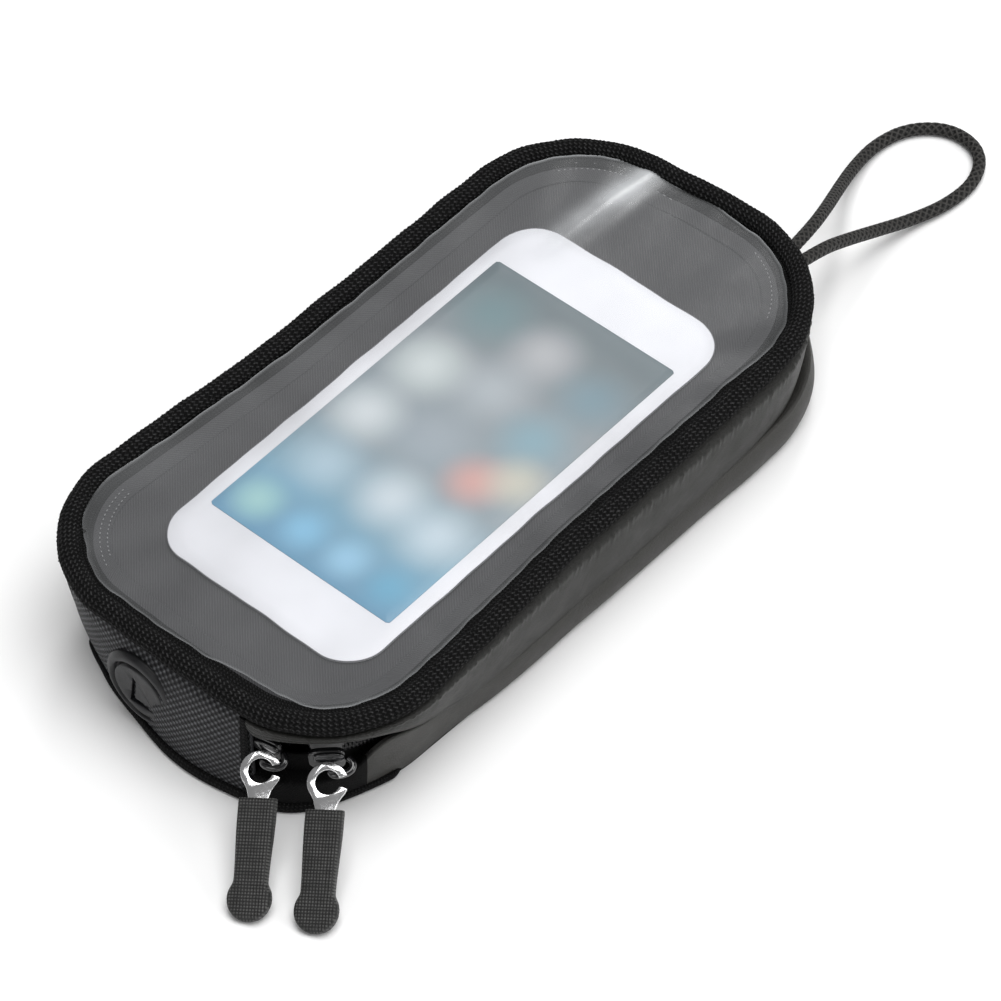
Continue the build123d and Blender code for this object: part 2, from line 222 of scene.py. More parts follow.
def knitted(name, dark, light, pitch, roughness=0.85):
    """Coarse jersey knit: rows of small V stitches with fuzz. The stitch tops are painted lighter as
    painted highlight, the grooves darker as painted shade.
    """
    s = Shade(name, dark, roughness, Specular_IOR_Level=0.12)
    u, v = s.uv()
    column = s.math("PINGPONG", s.over(v, pitch), 0.5)
    phase = s.scaled(column, 0.9, s.over(u, pitch * 1.15))
    wobble = s.noise(s.place(), 900.0, 2.0)
    stitch = s.wave(s.scaled(wobble, 0.7, phase))
    groove = s.wave(s.over(v, pitch))
    height = s.scaled(stitch, 0.35, s.scaled(groove, 0.2, 0.5))
    fuzz = s.noise(s.place(), 3200.0, 3.0)
    # painted highlight on the stitch tops and painted shade in the grooves, times random fuzz
    tone = s.times(s.remap(height, 0.45, 1.0), s.remap(fuzz, 0.35, 0.7, 0.2, 1.2))
    tone = s.math("POWER", s.math("MAXIMUM", tone, 0.0), 1.5)
    return s.finish(tone, dark, light, s.scaled(fuzz, 0.35, height), 0.00035)


def grained(name, colour, tint, roughness, depth=0.00006):
    """Coated cloth with a fine leather grain and faint handling marks."""
    s = Shade(name, colour, roughness, Specular_IOR_Level=0.32)
    place = s.place()
    cells = s.node("ShaderNodeTexVoronoi", {"Vector": place, "Scale": 1500.0}, feature="DISTANCE_TO_EDGE")
    grain = s.remap(cells, 0.0, 0.25)
    soft = s.noise(place, 160.0, 5.0)
    shade = s.mix(s.remap(soft, 0.3, 0.7), colour, tint)
    rough = s.remap(soft, 0.3, 0.7, roughness - 0.07, roughness + 0.07)
    large = s.bump(s.noise(place, 220.0, 3.0), 0.0005, 0.35)
    return s.set(Base_Color=shade, Roughness=rough, Normal=s.bump(grain, depth, 1.0, large))


def twill(name, dark, light, pitch):
    """Fine diagonal lining cloth. Its ribs are painted lighter on their crowns as painted highlight and
    darker between them as painted shade.
    """
    s = Shade(name, dark, 0.7, Sheen_Weight=0.05, Sheen_Roughness=0.4, Specular_IOR_Level=0.3)
    u, v = s.uv()
    diagonal = s.wave(s.over(s.plus(u, v), pitch))
    cross = s.wave(s.over(s.minus(u, v), pitch * 0.6))
    height = s.scaled(s.scaled(cross, 0.3, diagonal), 0.35, 0.5)
    # painted highlight on the rib crowns and painted shade between them, times random patches
    tone = s.times(height, s.patchy(45.0, 3.0, 0.75, 1.15))
    return s.finish(tone, dark, light, height, 0.00012)


def moulded(name, colour, roughness, mottle=500.0, depth=0.00004, **sockets):
    """Moulded rubber or plastic with a fine matt texture."""
    s = Shade(name, colour, roughness, **sockets)
    place = s.place()
    fine = s.noise(place, mottle * 6, 2.0)
    soft = s.noise(place, mottle, 3.0)
    lighter = tuple(min(1.0, c * 1.35 + 0.004) for c in colour)
    return s.set(Base_Color=s.mix(s.remap(soft, 0.35, 0.7), colour, lighter),
                 Roughness=s.remap(soft, 0.3, 0.7, roughness - 0.05, roughness + 0.08),
                 Normal=s.bump(fine, depth))


def gridded(name, dark, light, pitch):
    """Moulded rubber with small square pips in straight rows. The pips are painted lighter as painted
    highlight, the gaps between them darker as painted shade.
    """
    s = Shade(name, dark, 0.5, Specular_IOR_Level=0.3)
    u, v = s.uv()
    across = s.scaled(s.wave(s.over(u, pitch)), 0.5, 0.5)
    along = s.scaled(s.wave(s.over(v, pitch)), 0.5, 0.5)
    height = s.math("POWER", s.times(across, along), 0.7)
    # painted highlight on the pips and painted shade between them, times random patches
    tone = s.times(height, s.patchy(260.0, 3.0, 0.55, 1.1))
    return s.finish(tone, dark, light, height, 0.0002)


def plated(name, colour, roughness):
    """Bright plated metal with faint scratches."""
    s = Shade(name, colour, roughness, Metallic=1.0)
    place = s.place()
    scratch = s.noise(place, 1800.0, 4.0)
    return s.set(Roughness=s.remap(scratch, 0.3, 0.7, roughness * 0.7, roughness * 1.6),
                 Normal=s.bump(scratch, 0.000012))


def clear_film():
    """Glossy clear vinyl: mostly see-through, with a milky tint and mirrored light, and a painted highlight
    along its long crease.
    """
    s = Shade("window_vinyl", (0.80, 0.82, 0.84), 0.12, Specular_IOR_Level=0.6)
    place = s.place()
    haze = s.noise(place, 28.0, 3.0)
    scuff = s.noise(place, 420.0, 5.0)
    s.set(Roughness=s.remap(scuff, 0.35, 0.75, 0.17, 0.27),
          Normal=s.bump(s.noise(place, 110.0, 2.0), 0.0006, 0.12))
    clear = s.node("ShaderNodeBsdfTransparent", {"Color": (1, 1, 1, 1)})
    facing = s.node("ShaderNodeLayerWeight", {"Blend": 0.5}, out=1)
    rim = s.math("POWER", facing, 3.0)
    x, y, _ = s.split(place)
    # painted highlight: a milky band along the vinyl's crease, where more of the pale opaque shader is
    # mixed in
    lean = s.scaled(s.minus(y, 0.070), -0.06, 0.017)
    off = s.over(s.plus(x, lean), 0.0040)
    crease = s.math("EXPONENT", s.times(s.times(off, off), -1.0))
    crease = s.times(crease, s.remap(y, 0.050, 0.084, 0.0, 0.36))
    crease = s.times(crease, s.patchy(90.0, 3.0, 0.6, 1.1))
    share = s.plus(s.remap(haze, 0.3, 0.7, 0.018, 0.034), s.times(rim, 0.7))
    share = s.plus(share, crease)
    mixed = s.node("ShaderNodeMixShader", {0: s.math("MINIMUM", share, 0.9), 1: clear,
                                           2: s.bsdf.outputs[0]})
    output = s.tree.nodes["Material Output"]
    s.tree.links.new(mixed, output.inputs[0])
    return s.mat


def braided(name, dark, light, turns, pitch):
    """Braid of small strands, for a tube whose V runs once round. The strand crowns are painted lighter as
    painted highlight, the gaps between strands darker as painted shade.
    """
    s = Shade(name, dark, 0.6, Specular_IOR_Level=0.25)
    u, v = s.uv()
    lean = s.over(u, pitch)
    round_ = s.times(v, turns)
    one = s.wave(s.plus(round_, lean))
    two = s.wave(s.minus(round_, lean))
    height = s.scaled(s.math("MAXIMUM", one, two), 0.5, 0.5)
    # painted highlight on the strand crowns and painted shade in the gaps, times random patches
    tone = s.times(s.remap(height, 0.5, 1.0), s.patchy(3000.0, 2.0, 0.4, 1.1))
    return s.finish(tone, dark, light, height, 0.00018)


def printed_screen(centre, size):
    """Generic blurred picture: soft patches of colour that show nothing in particular."""
    s = Shade("blurred_print", (0.4, 0.5, 0.6), 0.35, Specular_IOR_Level=0.4)
    x, y, _ = s.split(s.place())
    x = s.over(s.minus(x, centre[0] * MM), size[0] * MM)
    y = s.over(s.minus(y, centre[1] * MM), size[1] * MM)
    warp = s.noise(s.place(), 30.0, 2.0)
    lift = s.scaled(s.minus(warp, 0.5), 0.10, y)
    colour = (0.10, 0.25, 0.38)
    for low, high, band in SCREEN_BANDS:
        colour = s.mix(s.remap(lift, low, high), colour, band)
    for px, py, radius, strength, patch in SCREEN_PATCHES:
        dx = s.minus(x, px)
        dy = s.times(s.minus(y, py), size[1] / size[0])
        far = s.math("SQRT", s.plus(s.times(dx, dx), s.times(dy, dy)))
        near = s.node("ShaderNodeMapRange", {0: far, 1: radius, 2: 0.0, 3: 0.0, 4: strength},
                      interpolation_type="SMOOTHSTEP")
        colour = s.mix(near, colour, patch)
    return s.set(Base_Color=colour)


# where each colour fades in, as shares of the print's length, and the colour
SCREEN_BANDS = [
    (-0.50, -0.28, (0.16, 0.32, 0.42)),
    (-0.34, -0.12, (0.22, 0.27, 0.30)),
    (-0.08, 0.22, (0.20, 0.23, 0.25)),
    (0.20, 0.46, (0.085, 0.12, 0.135)),
]
# across, along, radius as shares of the print's width and length, strength, colour
SCREEN_PATCHES = [
    (-0.30, 0.36, 0.26, 0.7, (0.10, 0.20, 0.22)),
    (0.02, 0.34, 0.24, 0.7, (0.44, 0.44, 0.46)),
    (0.34, 0.30, 0.24, 0.6, (0.12, 0.24, 0.30)),
    (-0.32, 0.14, 0.26, 0.8, (0.55, 0.60, 0.60)),
    (-0.02, 0.18, 0.26, 0.4, (0.52, 0.56, 0.60)),
    (0.30, 0.12, 0.24, 0.6, (0.16, 0.34, 0.42)),
    (-0.34, -0.06, 0.24, 0.7, (0.62, 0.66, 0.68)),
    (-0.02, -0.02, 0.26, 0.3, (0.40, 0.44, 0.50)),
    (0.26, -0.06, 0.20, 0.8, (0.58, 0.30, 0.26)),
    (0.40, 0.00, 0.20, 0.6, (0.60, 0.56, 0.44)),
    (-0.28, -0.24, 0.22, 0.6, (0.42, 0.54, 0.62)),
    (0.06, -0.22, 0.24, 0.7, (0.60, 0.66, 0.70)),
    (0.34, -0.24, 0.24, 0.7, (0.55, 0.64, 0.70)),
    (-0.36, -0.42, 0.17, 0.8, (0.30, 0.52, 0.50)),
    (-0.10, -0.42, 0.16, 0.7, (0.20, 0.46, 0.66)),
    (0.14, -0.42, 0.16, 0.7, (0.28, 0.52, 0.70)),
    (0.38, -0.42, 0.16, 0.7, (0.10, 0.34, 0.50)),
]


# ---------------------------------------------------------------- mesh helpers
def finish_object(name, mesh, material, body, replaced=(), smooth=True):
    """Link a mesh, give it its look, and tie it to its body."""
    mesh.materials.append(material)
    if smooth:
        mesh.polygons.foreach_set("use_smooth", [True] * len(mesh.polygons))
    obj = add_object(name, mesh)
    if body:
        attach(obj, body)
    if replaced:
        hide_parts(*replaced)
    return obj


def open_mesh(mesh):
    work = bmesh.new()
    work.from_mesh(mesh)
    return work


def close_mesh(work, mesh):
    """Turn all faces outwards and write the mesh back."""
    bmesh.ops.recalc_face_normals(work, faces=work.faces)
    work.to_mesh(mesh)
    work.free()


def quad_corners(rows, cols, last_row):
    """Rows i and columns j of a grid that wraps round, and the corners of the quad at each."""
    i, j = np.meshgrid(np.arange(last_row), np.arange(cols), indexing="ij")
    i2, j2 = (i + 1) % rows, (j + 1) % cols
    return i, j, np.stack([i * cols + j, i2 * cols + j, i2 * cols + j2, i * cols + j2], -1)


def grid_mesh(name, points, u, v, wrap_rows=False):
    """Tube over an array of points (rows, columns, 3) in mm. u and v are UV values in mm."""
    rows, cols, _ = points.shape
    i, j, quads = quad_corners(rows, cols, rows if wrap_rows else rows - 1)
    i2 = (i + 1) % rows
    u_step = np.append(u, 2 * u[-1] - u[-2]) if wrap_rows else u
    v_full = v if v.ndim == 2 else np.tile(v, (rows, 1))
    v_full = np.hstack([v_full, 2 * v_full[:, -1:] - v_full[:, -2:-1]])
    corner_u = np.stack([u_step[i], u_step[i + 1], u_step[i + 1], u_step[i]], -1).reshape(-1)
    corner_v = np.stack([v_full[i, j], v_full[i2, j], v_full[i2, j + 1], v_full[i, j + 1]], -1).reshape(-1)
    faces = quads.reshape(-1, 4).tolist()
    uv = np.stack([corner_u, corner_v], -1)
    if not wrap_rows:
        faces += [list(range(cols))[::-1], [(rows - 1) * cols + k for k in range(cols)]]
        uv = np.vstack([uv, np.zeros((2 * cols, 2))])
    mesh = bpy.data.meshes.new(name)
    mesh.from_pydata((points.reshape(-1, 3) * MM).tolist(), [], faces)
    layer = mesh.uv_layers.new(name="UVMap")
    layer.data.foreach_set("uv", uv.reshape(-1))
    close_mesh(open_mesh(mesh), mesh)
    return mesh


def filled_mesh(name, points, quads, merge, caps=()):
    """Closed mesh over a grid whose last rings meet on a line. UV is X and Y in mm."""
    mesh = bpy.data.meshes.new(name)
    faces = quads.reshape(-1, 4).tolist() + list(caps)
    mesh.from_pydata((points.reshape(-1, 3) * MM).tolist(), [], faces)
    work = open_mesh(mesh)
    bmesh.ops.remove_doubles(work, verts=work.verts, dist=merge * MM)
    bmesh.ops.holes_fill(work, edges=[e for e in work.edges if e.is_boundary])
    layer = work.loops.layers.uv.new("UVMap")
    for face in work.faces:
        for loop in face.loops:
            loop[layer].uv = (loop.vert.co.x / MM, loop.vert.co.y / MM)
    close_mesh(work, mesh)
    return mesh


def prism_mesh(name, low, high):
    """Closed prism between two matching outlines of points in mm."""
    count = len(low)
    mesh = bpy.data.meshes.new(name)
    faces = [tuple(range(count))[::-1], tuple(range(count, 2 * count))]
    faces += [(k, (k + 1) % count, (k + 1) % count + count, k + count) for k in range(count)]
    mesh.from_pydata([[c * MM for c in point] for point in [*low, *high]], [], faces)
    return mesh


def mesh_points(mesh):
    """Places of a mesh's vertices, in mm."""
    co = np.empty(len(mesh.vertices) * 3)
    mesh.vertices.foreach_get("co", co)
    return co.reshape(-1, 3) / MM


def set_uv(mesh, flat):
    """Give each vertex's flat place, in mm, to the corners that use it."""
    while mesh.uv_layers:
        mesh.uv_layers.remove(mesh.uv_layers[0])
    corner = np.empty(len(mesh.loops), dtype=int)
    mesh.loops.foreach_get("vertex_index", corner)
    layer = mesh.uv_layers.new(name="UVMap")
    layer.data.foreach_set("uv", flat[np.minimum(corner, len(flat) - 1)].reshape(-1))


def circle(count):
    """Even angles once round, in radians."""
    return np.linspace(0, 2 * math.pi, count, endpoint=False)


def distances(line):
    """Distance along a line at each of its points."""
    step = np.linalg.norm(np.diff(line, axis=0), axis=1)
    return np.concatenate([[0], np.cumsum(step)])


def even_points(line, count, closed=True):
    """A line's points, moved to even distances."""
    if closed:
        line = np.vstack([line, line[:1]])
    at = distances(line)
    want = np.linspace(0, at[-1], count, endpoint=not closed)
    return np.stack([np.interp(want, at, column) for column in line.T], -1)


def smooth_bumps(s, wavelengths, amplitude):
    """Sum of sines of different wavelengths with random phases."""
    total = np.zeros_like(s)
    for wavelength in wavelengths:
        phase = RANDOM.uniform(0, 2 * math.pi)
        total += np.sin(2 * math.pi * s / wavelength + phase) * RANDOM.uniform(0.6, 1.0)
    return amplitude * total / math.sqrt(len(wavelengths))


def smoothed(values, window, mode="edge"):
    """Weighted running mean over an odd number of places."""
    kernel = np.hanning(window)
    return np.convolve(np.pad(values, window // 2, mode=mode), kernel / kernel.sum(), mode="valid")


def smoothstep(x, low, high):
    """Share from 0 at low to 1 at high, eased at both ends."""
    t = np.clip((x - low) / (high - low), 0, 1)
    return t * t * (3 - 2 * t)


# ---------------------------------------------------------------- outline rail
# Where the soft bag stands out from (+) or inside (-) its even outline: x, y, distance.
BASE_SHIFTS = [
    (0, -101, 2.9), (4, -101, 3.4), (12, -101, 3.2), (23, -100, 1.8), (34, -98, -0.2), (38, -96, -1.6),
    (46, -90, -5.8), (51, -82, -7.5), (55, -71, -8.0), (54, -55, -6.6), (53, -39, -4.2),
    (52, -20, -2.5), (51, -2, -1.6), (51, 15, -1.2), (51, 34, -1.1), (51, 52, -0.4), (47, 82, -1.5),
    (40, 91, -2.3), (30, 98, -0.6), (0, 101, 0.0), (-51, 60, 0.0), (-51, -12, -0.6), (-55, -60, -3.0),
    (-55, -75, -4.2), (-46, -89, -4.6), (-30, -99, -4.1), (-18, -100, -1.1), (-6, -101, 1.7),
]
TOP_SHIFTS = [
    (0, -101, 0.0), (56, -70, 0.0), (52, -30, 1.2), (51, 20, 1.5), (51, 60, 1.2), (46, 82, -0.2),
    (38, 92, -0.6), (0, 101, -1.6), (-10, 101, -3.0), (-25, 99, -2.8), (-40, 90, -2.0), (-51, 40, -1.3),
    (-51, -12, -0.9), (-55, -70, 0.0),
]
TOP_LEVEL = 31.0    # height at which TOP_SHIFTS hold in full


class Rail:
    """The bag's plan outline as one smooth closed line, read from the CAD base."""

    COUNT = 2048
    HARMONICS = 70
    BASE_INSET = 0.9

    def __init__(self):
        co = np.array([v.co for v in NODES["base_skin"].data.vertices]) / MM
        edge = co[co[:, 2] > co[:, 2].max() - 0.01][:, :2]
        edge = np.unique(np.round(edge, 3), axis=0)
        turn = np.mod(np.arctan2(edge[:, 1], edge[:, 0]) + math.pi / 2, 2 * math.pi)
        edge = edge[np.argsort(turn)]
        line = even_points(edge, self.COUNT)
        for axis in (0, 1):
            wave = np.fft.rfft(line[:, axis])
            wave[self.HARMONICS:] = 0
            line[:, axis] = np.fft.irfft(wave, self.COUNT)
        line = line + self.outward(line) * self.BASE_INSET
        self.line = even_points(line, self.COUNT)
        self.normal = self.outward(self.line)
        self.length = float(distances(np.vstack([self.line, self.line[:1]]))[-1])
        self.base_shift = self.spread(BASE_SHIFTS)
        self.top_shift = self.spread(TOP_SHIFTS)

    def spread(self, places):
        """Smooth shifts for every outline point from a short list of places."""
        index = [int(np.argmin(np.hypot(self.line[:, 0] - x, self.line[:, 1] - y))) for x, y, _ in places]
        known = sorted(zip(index, [shift for _, _, shift in places]))
        at = [known[-1][0] - self.COUNT] + [k for k, _ in known] + [known[0][0] + self.COUNT]
        shift = [known[-1][1]] + [v for _, v in known] + [known[0][1]]
        return smoothed(np.interp(np.arange(self.COUNT), at, shift), 61, "wrap")

    def shift(self, s, z):
        """Outward shift at distances s, (rows,), and heights z, (rows, columns)."""
        share = np.clip(z / TOP_LEVEL, 0, 1)
        return self.read(self.top_shift, s) * share + self.read(self.base_shift, s) * (1 - share)

    def read(self, values, s):
        """Values that belong to the outline's points, as columns, at distances s."""
        index = np.mod(np.asarray(s, float) / self.length * self.COUNT, self.COUNT)
        looped = np.concatenate([values, values[:1]]).reshape(self.COUNT + 1, -1)
        return np.stack([np.interp(index, np.arange(self.COUNT + 1), column) for column in looped.T], -1)

    @staticmethod
    def outward(line):
        """Outward directions, square to a closed line."""
        along = np.roll(line, -1, 0) - np.roll(line, 1, 0)
        along /= np.linalg.norm(along, axis=1, keepdims=True)
        return np.stack([along[:, 1], -along[:, 0]], -1)

    def at(self, s):
        """Points and outward normals at distances s, in mm from the middle of the port end."""
        normal = self.read(self.normal, s)
        return self.read(self.line, s), normal / np.linalg.norm(normal, axis=1, keepdims=True)

    def find(self, x, y):
        """Distance s of the outline point nearest to a place."""
        gap = np.hypot(self.line[:, 0] - x, self.line[:, 1] - y)
        return float(np.argmin(gap)) / self.COUNT * self.length

    def section(self, s, inset, z):
        """Points (rows, columns, 3) from insets and heights, each (rows, columns)."""
        point, normal = self.at(s)
        inward = inset - self.shift(s, z)
        xy = point[:, None, :] - normal[:, None, :] * inward[..., None]
        return np.concatenate([xy, z[..., None]], -1)


rail = Rail()
CORNER = np.array(JOINTS["slider_right_travel"]["pos_m"]) / MM
CORNER_R = 33.0    # radius of the outline round the port end's right corner


def all_round(count):
    """Even distances once round the outline."""
    return np.linspace(0, rail.length, count, endpoint=False)


def shares(*parts):
    """Wavelengths that fit whole times round the outline."""
    return [rail.length / n for n in parts]


def folded(outer, z, thickness=0.0, drop=0.0):
    """Section of a thin sheet: out along one face and back along the other."""
    return np.hstack([outer, outer[:, ::-1] + thickness]), np.hstack([z, z[:, ::-1] - drop])


def corner_s(degrees):
    """Distance s round the port end's right corner."""
    turn = math.radians(degrees)
    return rail.find(CORNER[0] + CORNER_R * math.cos(turn), CORNER[1] + CORNER_R * math.sin(turn))


def profile_v(inset, z):
    """Distance along each profile, in mm."""
    step = np.hypot(np.diff(inset, axis=1), np.diff(z, axis=1))
    return np.hstack([np.zeros((inset.shape[0], 1)), np.cumsum(step, axis=1)])


def rail_piece(name, s, inset, z, material, body, replaced=(), wrap=False):
    """A closed section swept along the outline."""
    points = rail.section(s, inset, z)
    mesh = grid_mesh(name, points, s, profile_v(inset, z), wrap_rows=wrap)
    return finish_object(name, mesh, material, body, replaced)


# ---------------------------------------------------------------- places taken from the frame
PANEL_LOW, PANEL_HIGH = mm_box("end_panel")
PIPING_LOW, PIPING_HIGH = mm_box("top_piping")
CARD_LOW, CARD_HIGH = mm_box("insert_card")
PRINT_LOW, PRINT_HIGH = mm_box("card_print")
PIPING_R = (PIPING_HIGH[2] - PIPING_LOW[2]) / 2
PIPING_Z = (PIPING_HIGH[2] + PIPING_LOW[2]) / 2
# distances of the end panel's two seams along the outline
S_RIGHT = rail.find(PANEL_HIGH[0], PANEL_LOW[1])
S_LEFT = rail.find(PANEL_LOW[0], -92.6)
PANEL_FOOT, PANEL_TOP = 1.4, 31.2


# ---------------------------------------------------------------- materials
def make_materials():
    """Every look by its short name."""
    return {
        "nylon": woven("ballistic_nylon", (0.002, 0.002, 0.003), (0.24, 0.245, 0.26),
                       1.0, 0.5, 0.0009, 0.02),
        "base": woven("base_nylon", (0.008, 0.008, 0.009), (0.045, 0.046, 0.05),
                      1.1, 0.7, 0.0003, 0.02),
        "knit": knitted("knit_piping", (0.002, 0.002, 0.002), (0.055, 0.055, 0.056), 1.3),
        "binding": knitted("knit_binding", (0.003, 0.003, 0.003), (0.030, 0.030, 0.031), 0.9),
        "cloth": grained("coated_cloth", (0.011, 0.011, 0.0095), (0.016, 0.016, 0.014), 0.50),
        "cloth_light": grained("coated_cloth_light", (0.026, 0.0255, 0.023),
                               (0.036, 0.035, 0.032), 0.52),
        "film": clear_film(),
        "lining": twill("grey_lining", (0.022, 0.022, 0.024), (0.046, 0.046, 0.049), 0.9),
        "tape": woven("zipper_tape", (0.002, 0.002, 0.002), (0.009, 0.009, 0.010),
                      0.45, 0.9, 0.0002, 0.0),
        "coil": moulded("zipper_coil", (0.008, 0.008, 0.009), 0.32),
        "lacquer": moulded("slider_lacquer", (0.006, 0.006, 0.007), 0.16, 300.0, 0.00001,
                           Coat_Weight=0.6),
        "metal": plated("bright_link", (0.86, 0.86, 0.87), 0.14),
        "grip": gridded("grip_rubber", (0.010, 0.010, 0.010), (0.095, 0.095, 0.092), 0.78),
        "rubber": moulded("port_rubber", (0.006, 0.006, 0.007), 0.40, Specular_IOR_Level=0.3),
        "card": moulded("white_card", (0.55, 0.555, 0.585), 0.35, 18.0, 0.00001),
        "print": printed_screen((PRINT_LOW + PRINT_HIGH) / 2, PRINT_HIGH - PRINT_LOW),
        "cord": braided("cord_braid", (0.003, 0.003, 0.003), (0.050, 0.048, 0.045),
                        float(STRANDS), STRAND_PITCH),
        "rim": moulded("card_edge_line", (0.10, 0.10, 0.11), 0.5),
        "thread": moulded("stitch_thread", (0.18, 0.18, 0.185), 0.7),
        "hooks": knitted("hook_and_loop", (0.006, 0.006, 0.006), (0.03, 0.03, 0.03), 0.5),
        "foam": moulded("closed_foam", (0.05, 0.05, 0.05), 0.9),
        "magnet": plated("magnet_plating", (0.55, 0.55, 0.56), 0.3),
    }


# ---------------------------------------------------------------- cord loop
CORD_DIAMETER = 3.4
STRANDS, STRAND_PITCH, STRAND_RISE = 5, 2.2, 0.09
CORD_ROUTE = [
    (25.2, 96.5, 27.6),
    (23.6, 108.2, 26.4),
    (18.3, 121.6, 20.2),
    (10.6, 136.6, 10.8),
    (4.6, 150.0, 4.0),
    (2.4, 162.0, 1.9),
    (5.4, 172.6, 1.8),
    (14.4, 179.6, 1.8),
    (25.4, 178.0, 1.8),
    (31.0, 168.6, 1.8),
    (30.6, 157.0, 1.9),
    (27.2, 145.6, 2.8),
    (25.8, 133.2, 8.0),
    (26.6, 120.6, 15.6),
    (28.2, 107.6, 23.6),
    (29.0, 95.1, 27.4),
]


def cord_line():
    """Points along the cord's smooth line, in mm."""
    curve = bpy.data.curves.new("cord_line", "CURVE")
    curve.dimensions = "3D"
    spline = curve.splines.new("NURBS")
    spline.points.add(len(CORD_ROUTE) - 1)
    for point, place in zip(spline.points, CORD_ROUTE):
        point.co = (*(c * MM for c in place), 1)
    spline.order_u = 3
    spline.use_endpoint_u = True
    curve.resolution_u = 24
    holder = bpy.data.objects.new("cord_line", curve)
    mesh = bpy.data.meshes.new_from_object(holder)
    line = np.array([v.co for v in mesh.vertices]) / MM
    bpy.data.objects.remove(holder)
    bpy.data.meshes.remove(mesh)
    return line


def tube_frames(line):
    """Two steady directions across a line at each of its points."""
    along = np.gradient(line, axis=0)
    along /= np.linalg.norm(along, axis=1, keepdims=True)
    side = np.zeros_like(line)
    start = np.cross(along[0], (0, 0, 1.0))
    side[0] = start / np.linalg.norm(start)
    for k in range(1, len(line)):
        kept = side[k - 1] - along[k] * np.dot(side[k - 1], along[k])
        side[k] = kept / np.linalg.norm(kept)
    return side, np.cross(along, side)


def tube_mesh(name, line, radius, columns):
    """Tube of radius (number or array of rows by columns) along a line. V runs once round."""
    side, other = tube_frames(line)
    turn = circle(columns)
    radius = np.broadcast_to(radius, (len(line), columns))
    ring = side[:, None] * np.cos(turn)[:, None] + other[:, None] * np.sin(turn)[:, None]
    points = line[:, None] + ring * radius[..., None]
    return grid_mesh(name, points, distances(line), turn / (2 * math.pi))


def make_cord(looks):
    """Braided loop whose ends go back into the bag under the piping."""
    line = cord_line()
    length = distances(line)[-1]
    rings, columns = 1100, 40
    line = even_points(line, rings, closed=False)
    turn = STRANDS * circle(columns)
    lean = 2 * math.pi * np.linspace(0, length, rings)[:, None] / STRAND_PITCH
    strands = np.maximum(np.sin(turn + lean), np.sin(turn - lean))
    radius = CORD_DIAMETER / 2 - STRAND_RISE + STRAND_RISE * strands
    mesh = tube_mesh("cord_loop_braid", line, radius, columns)
    cord = finish_object("cord_loop_braid", mesh, looks["cord"], "lid", ["cord_loop"])


# ---------------------------------------------------------------- piping
def make_piping(looks):
    """Fat knit piping round the window, a little wavy, with the stitches raised."""
    rows, cols = 1500, 44
    stitches, columns = 410, 14
    s, turn = all_round(rows), circle(cols)
    sway = smooth_bumps(s, shares(9, 14, 23, 37), 0.16)
    lift = smooth_bumps(s, shares(7, 12, 26, 41), 0.14)
    column = np.abs(np.mod(turn / (2 * math.pi) * columns, 1) - 0.5)
    phase = s[:, None] / rail.length * stitches + 0.9 * column[None, :]
    stitch = 0.13 * np.sin(2 * math.pi * phase) * (0.6 + 0.4 * np.sin(columns * turn))[None, :]
    rough = RANDOM.normal(0, 0.045, (rows, cols))
    radius = PIPING_R - 0.35 + stitch + rough
    flat = 0.93 + 0.02 * np.sin(s / rail.length * 17 * 2 * math.pi)
    inset = (PIPING_R - 0.5 - sway)[:, None] - radius * np.cos(turn)[None, :]
    z = (PIPING_Z + lift)[:, None] + radius * np.sin(turn)[None, :] * flat[:, None]
    points = rail.section(s, inset, z)
    v = np.linspace(0, 2 * math.pi * PIPING_R, cols, endpoint=False)
    mesh = grid_mesh("knit_piping", points, s, v, wrap_rows=True)
    finish_object("knit_piping", mesh, looks["knit"], "lid", ["top_piping", "piping_core"])

    s = all_round(600)
    start, level = 4.4, 33.25
    across = np.linspace(start, 8.6, 8)[None, :] + 0 * s[:, None]
    ripple = smooth_bumps(s, shares(27, 45, 83), 0.10)[:, None]
    upper = level - 0.03 * (across - start) + ripple * smoothstep(across, start, 7.0)
    inset, z = folded(across, upper, drop=0.35)
    rail_piece("piping_seam_allowance", s, inset, z, looks["binding"], "lid", wrap=True)


# ---------------------------------------------------------------- walls
def height_line(s, first, at_corner, at_side, last):
    """Smoothed heights from one end seam round to the other.

    at_corner lists degrees round the port end's right corner and a height; at_side lists x, y and a height.
    """
    places = [(S_RIGHT, first)] + [(corner_s(turn), height) for turn, height in at_corner]
    places += [(rail.find(x, y), height) for x, y, height in at_side] + [(S_LEFT, last)]
    at, height = np.array(sorted(places)).T
    return smoothed(np.interp(s, at, height), 41)


def flap_edge(s):
    """Height of the rain flap's lower edge."""
    at_corner = [(-76, 26.8), (-66, 28.0), (-50, 28.8), (-34, 28.6), (-22, 27.0), (-11, 23.0)]
    at_side = [(54.5, -60, 16.5), (53.5, -50, 11.0), (53, -43, 9.0), (52, -20, 7.4), (51.3, 20, 7.0),
               (51, 60, 8.0), (40, 90, 9.4), (-40, 90, 9.4), (-51, 40, 7.5), (-53.5, -50, 9.0),
               (-55, -70, 16.0), (-50, -85, 22.0)]
    return height_line(s, 25.4, at_corner, at_side, 25.0)


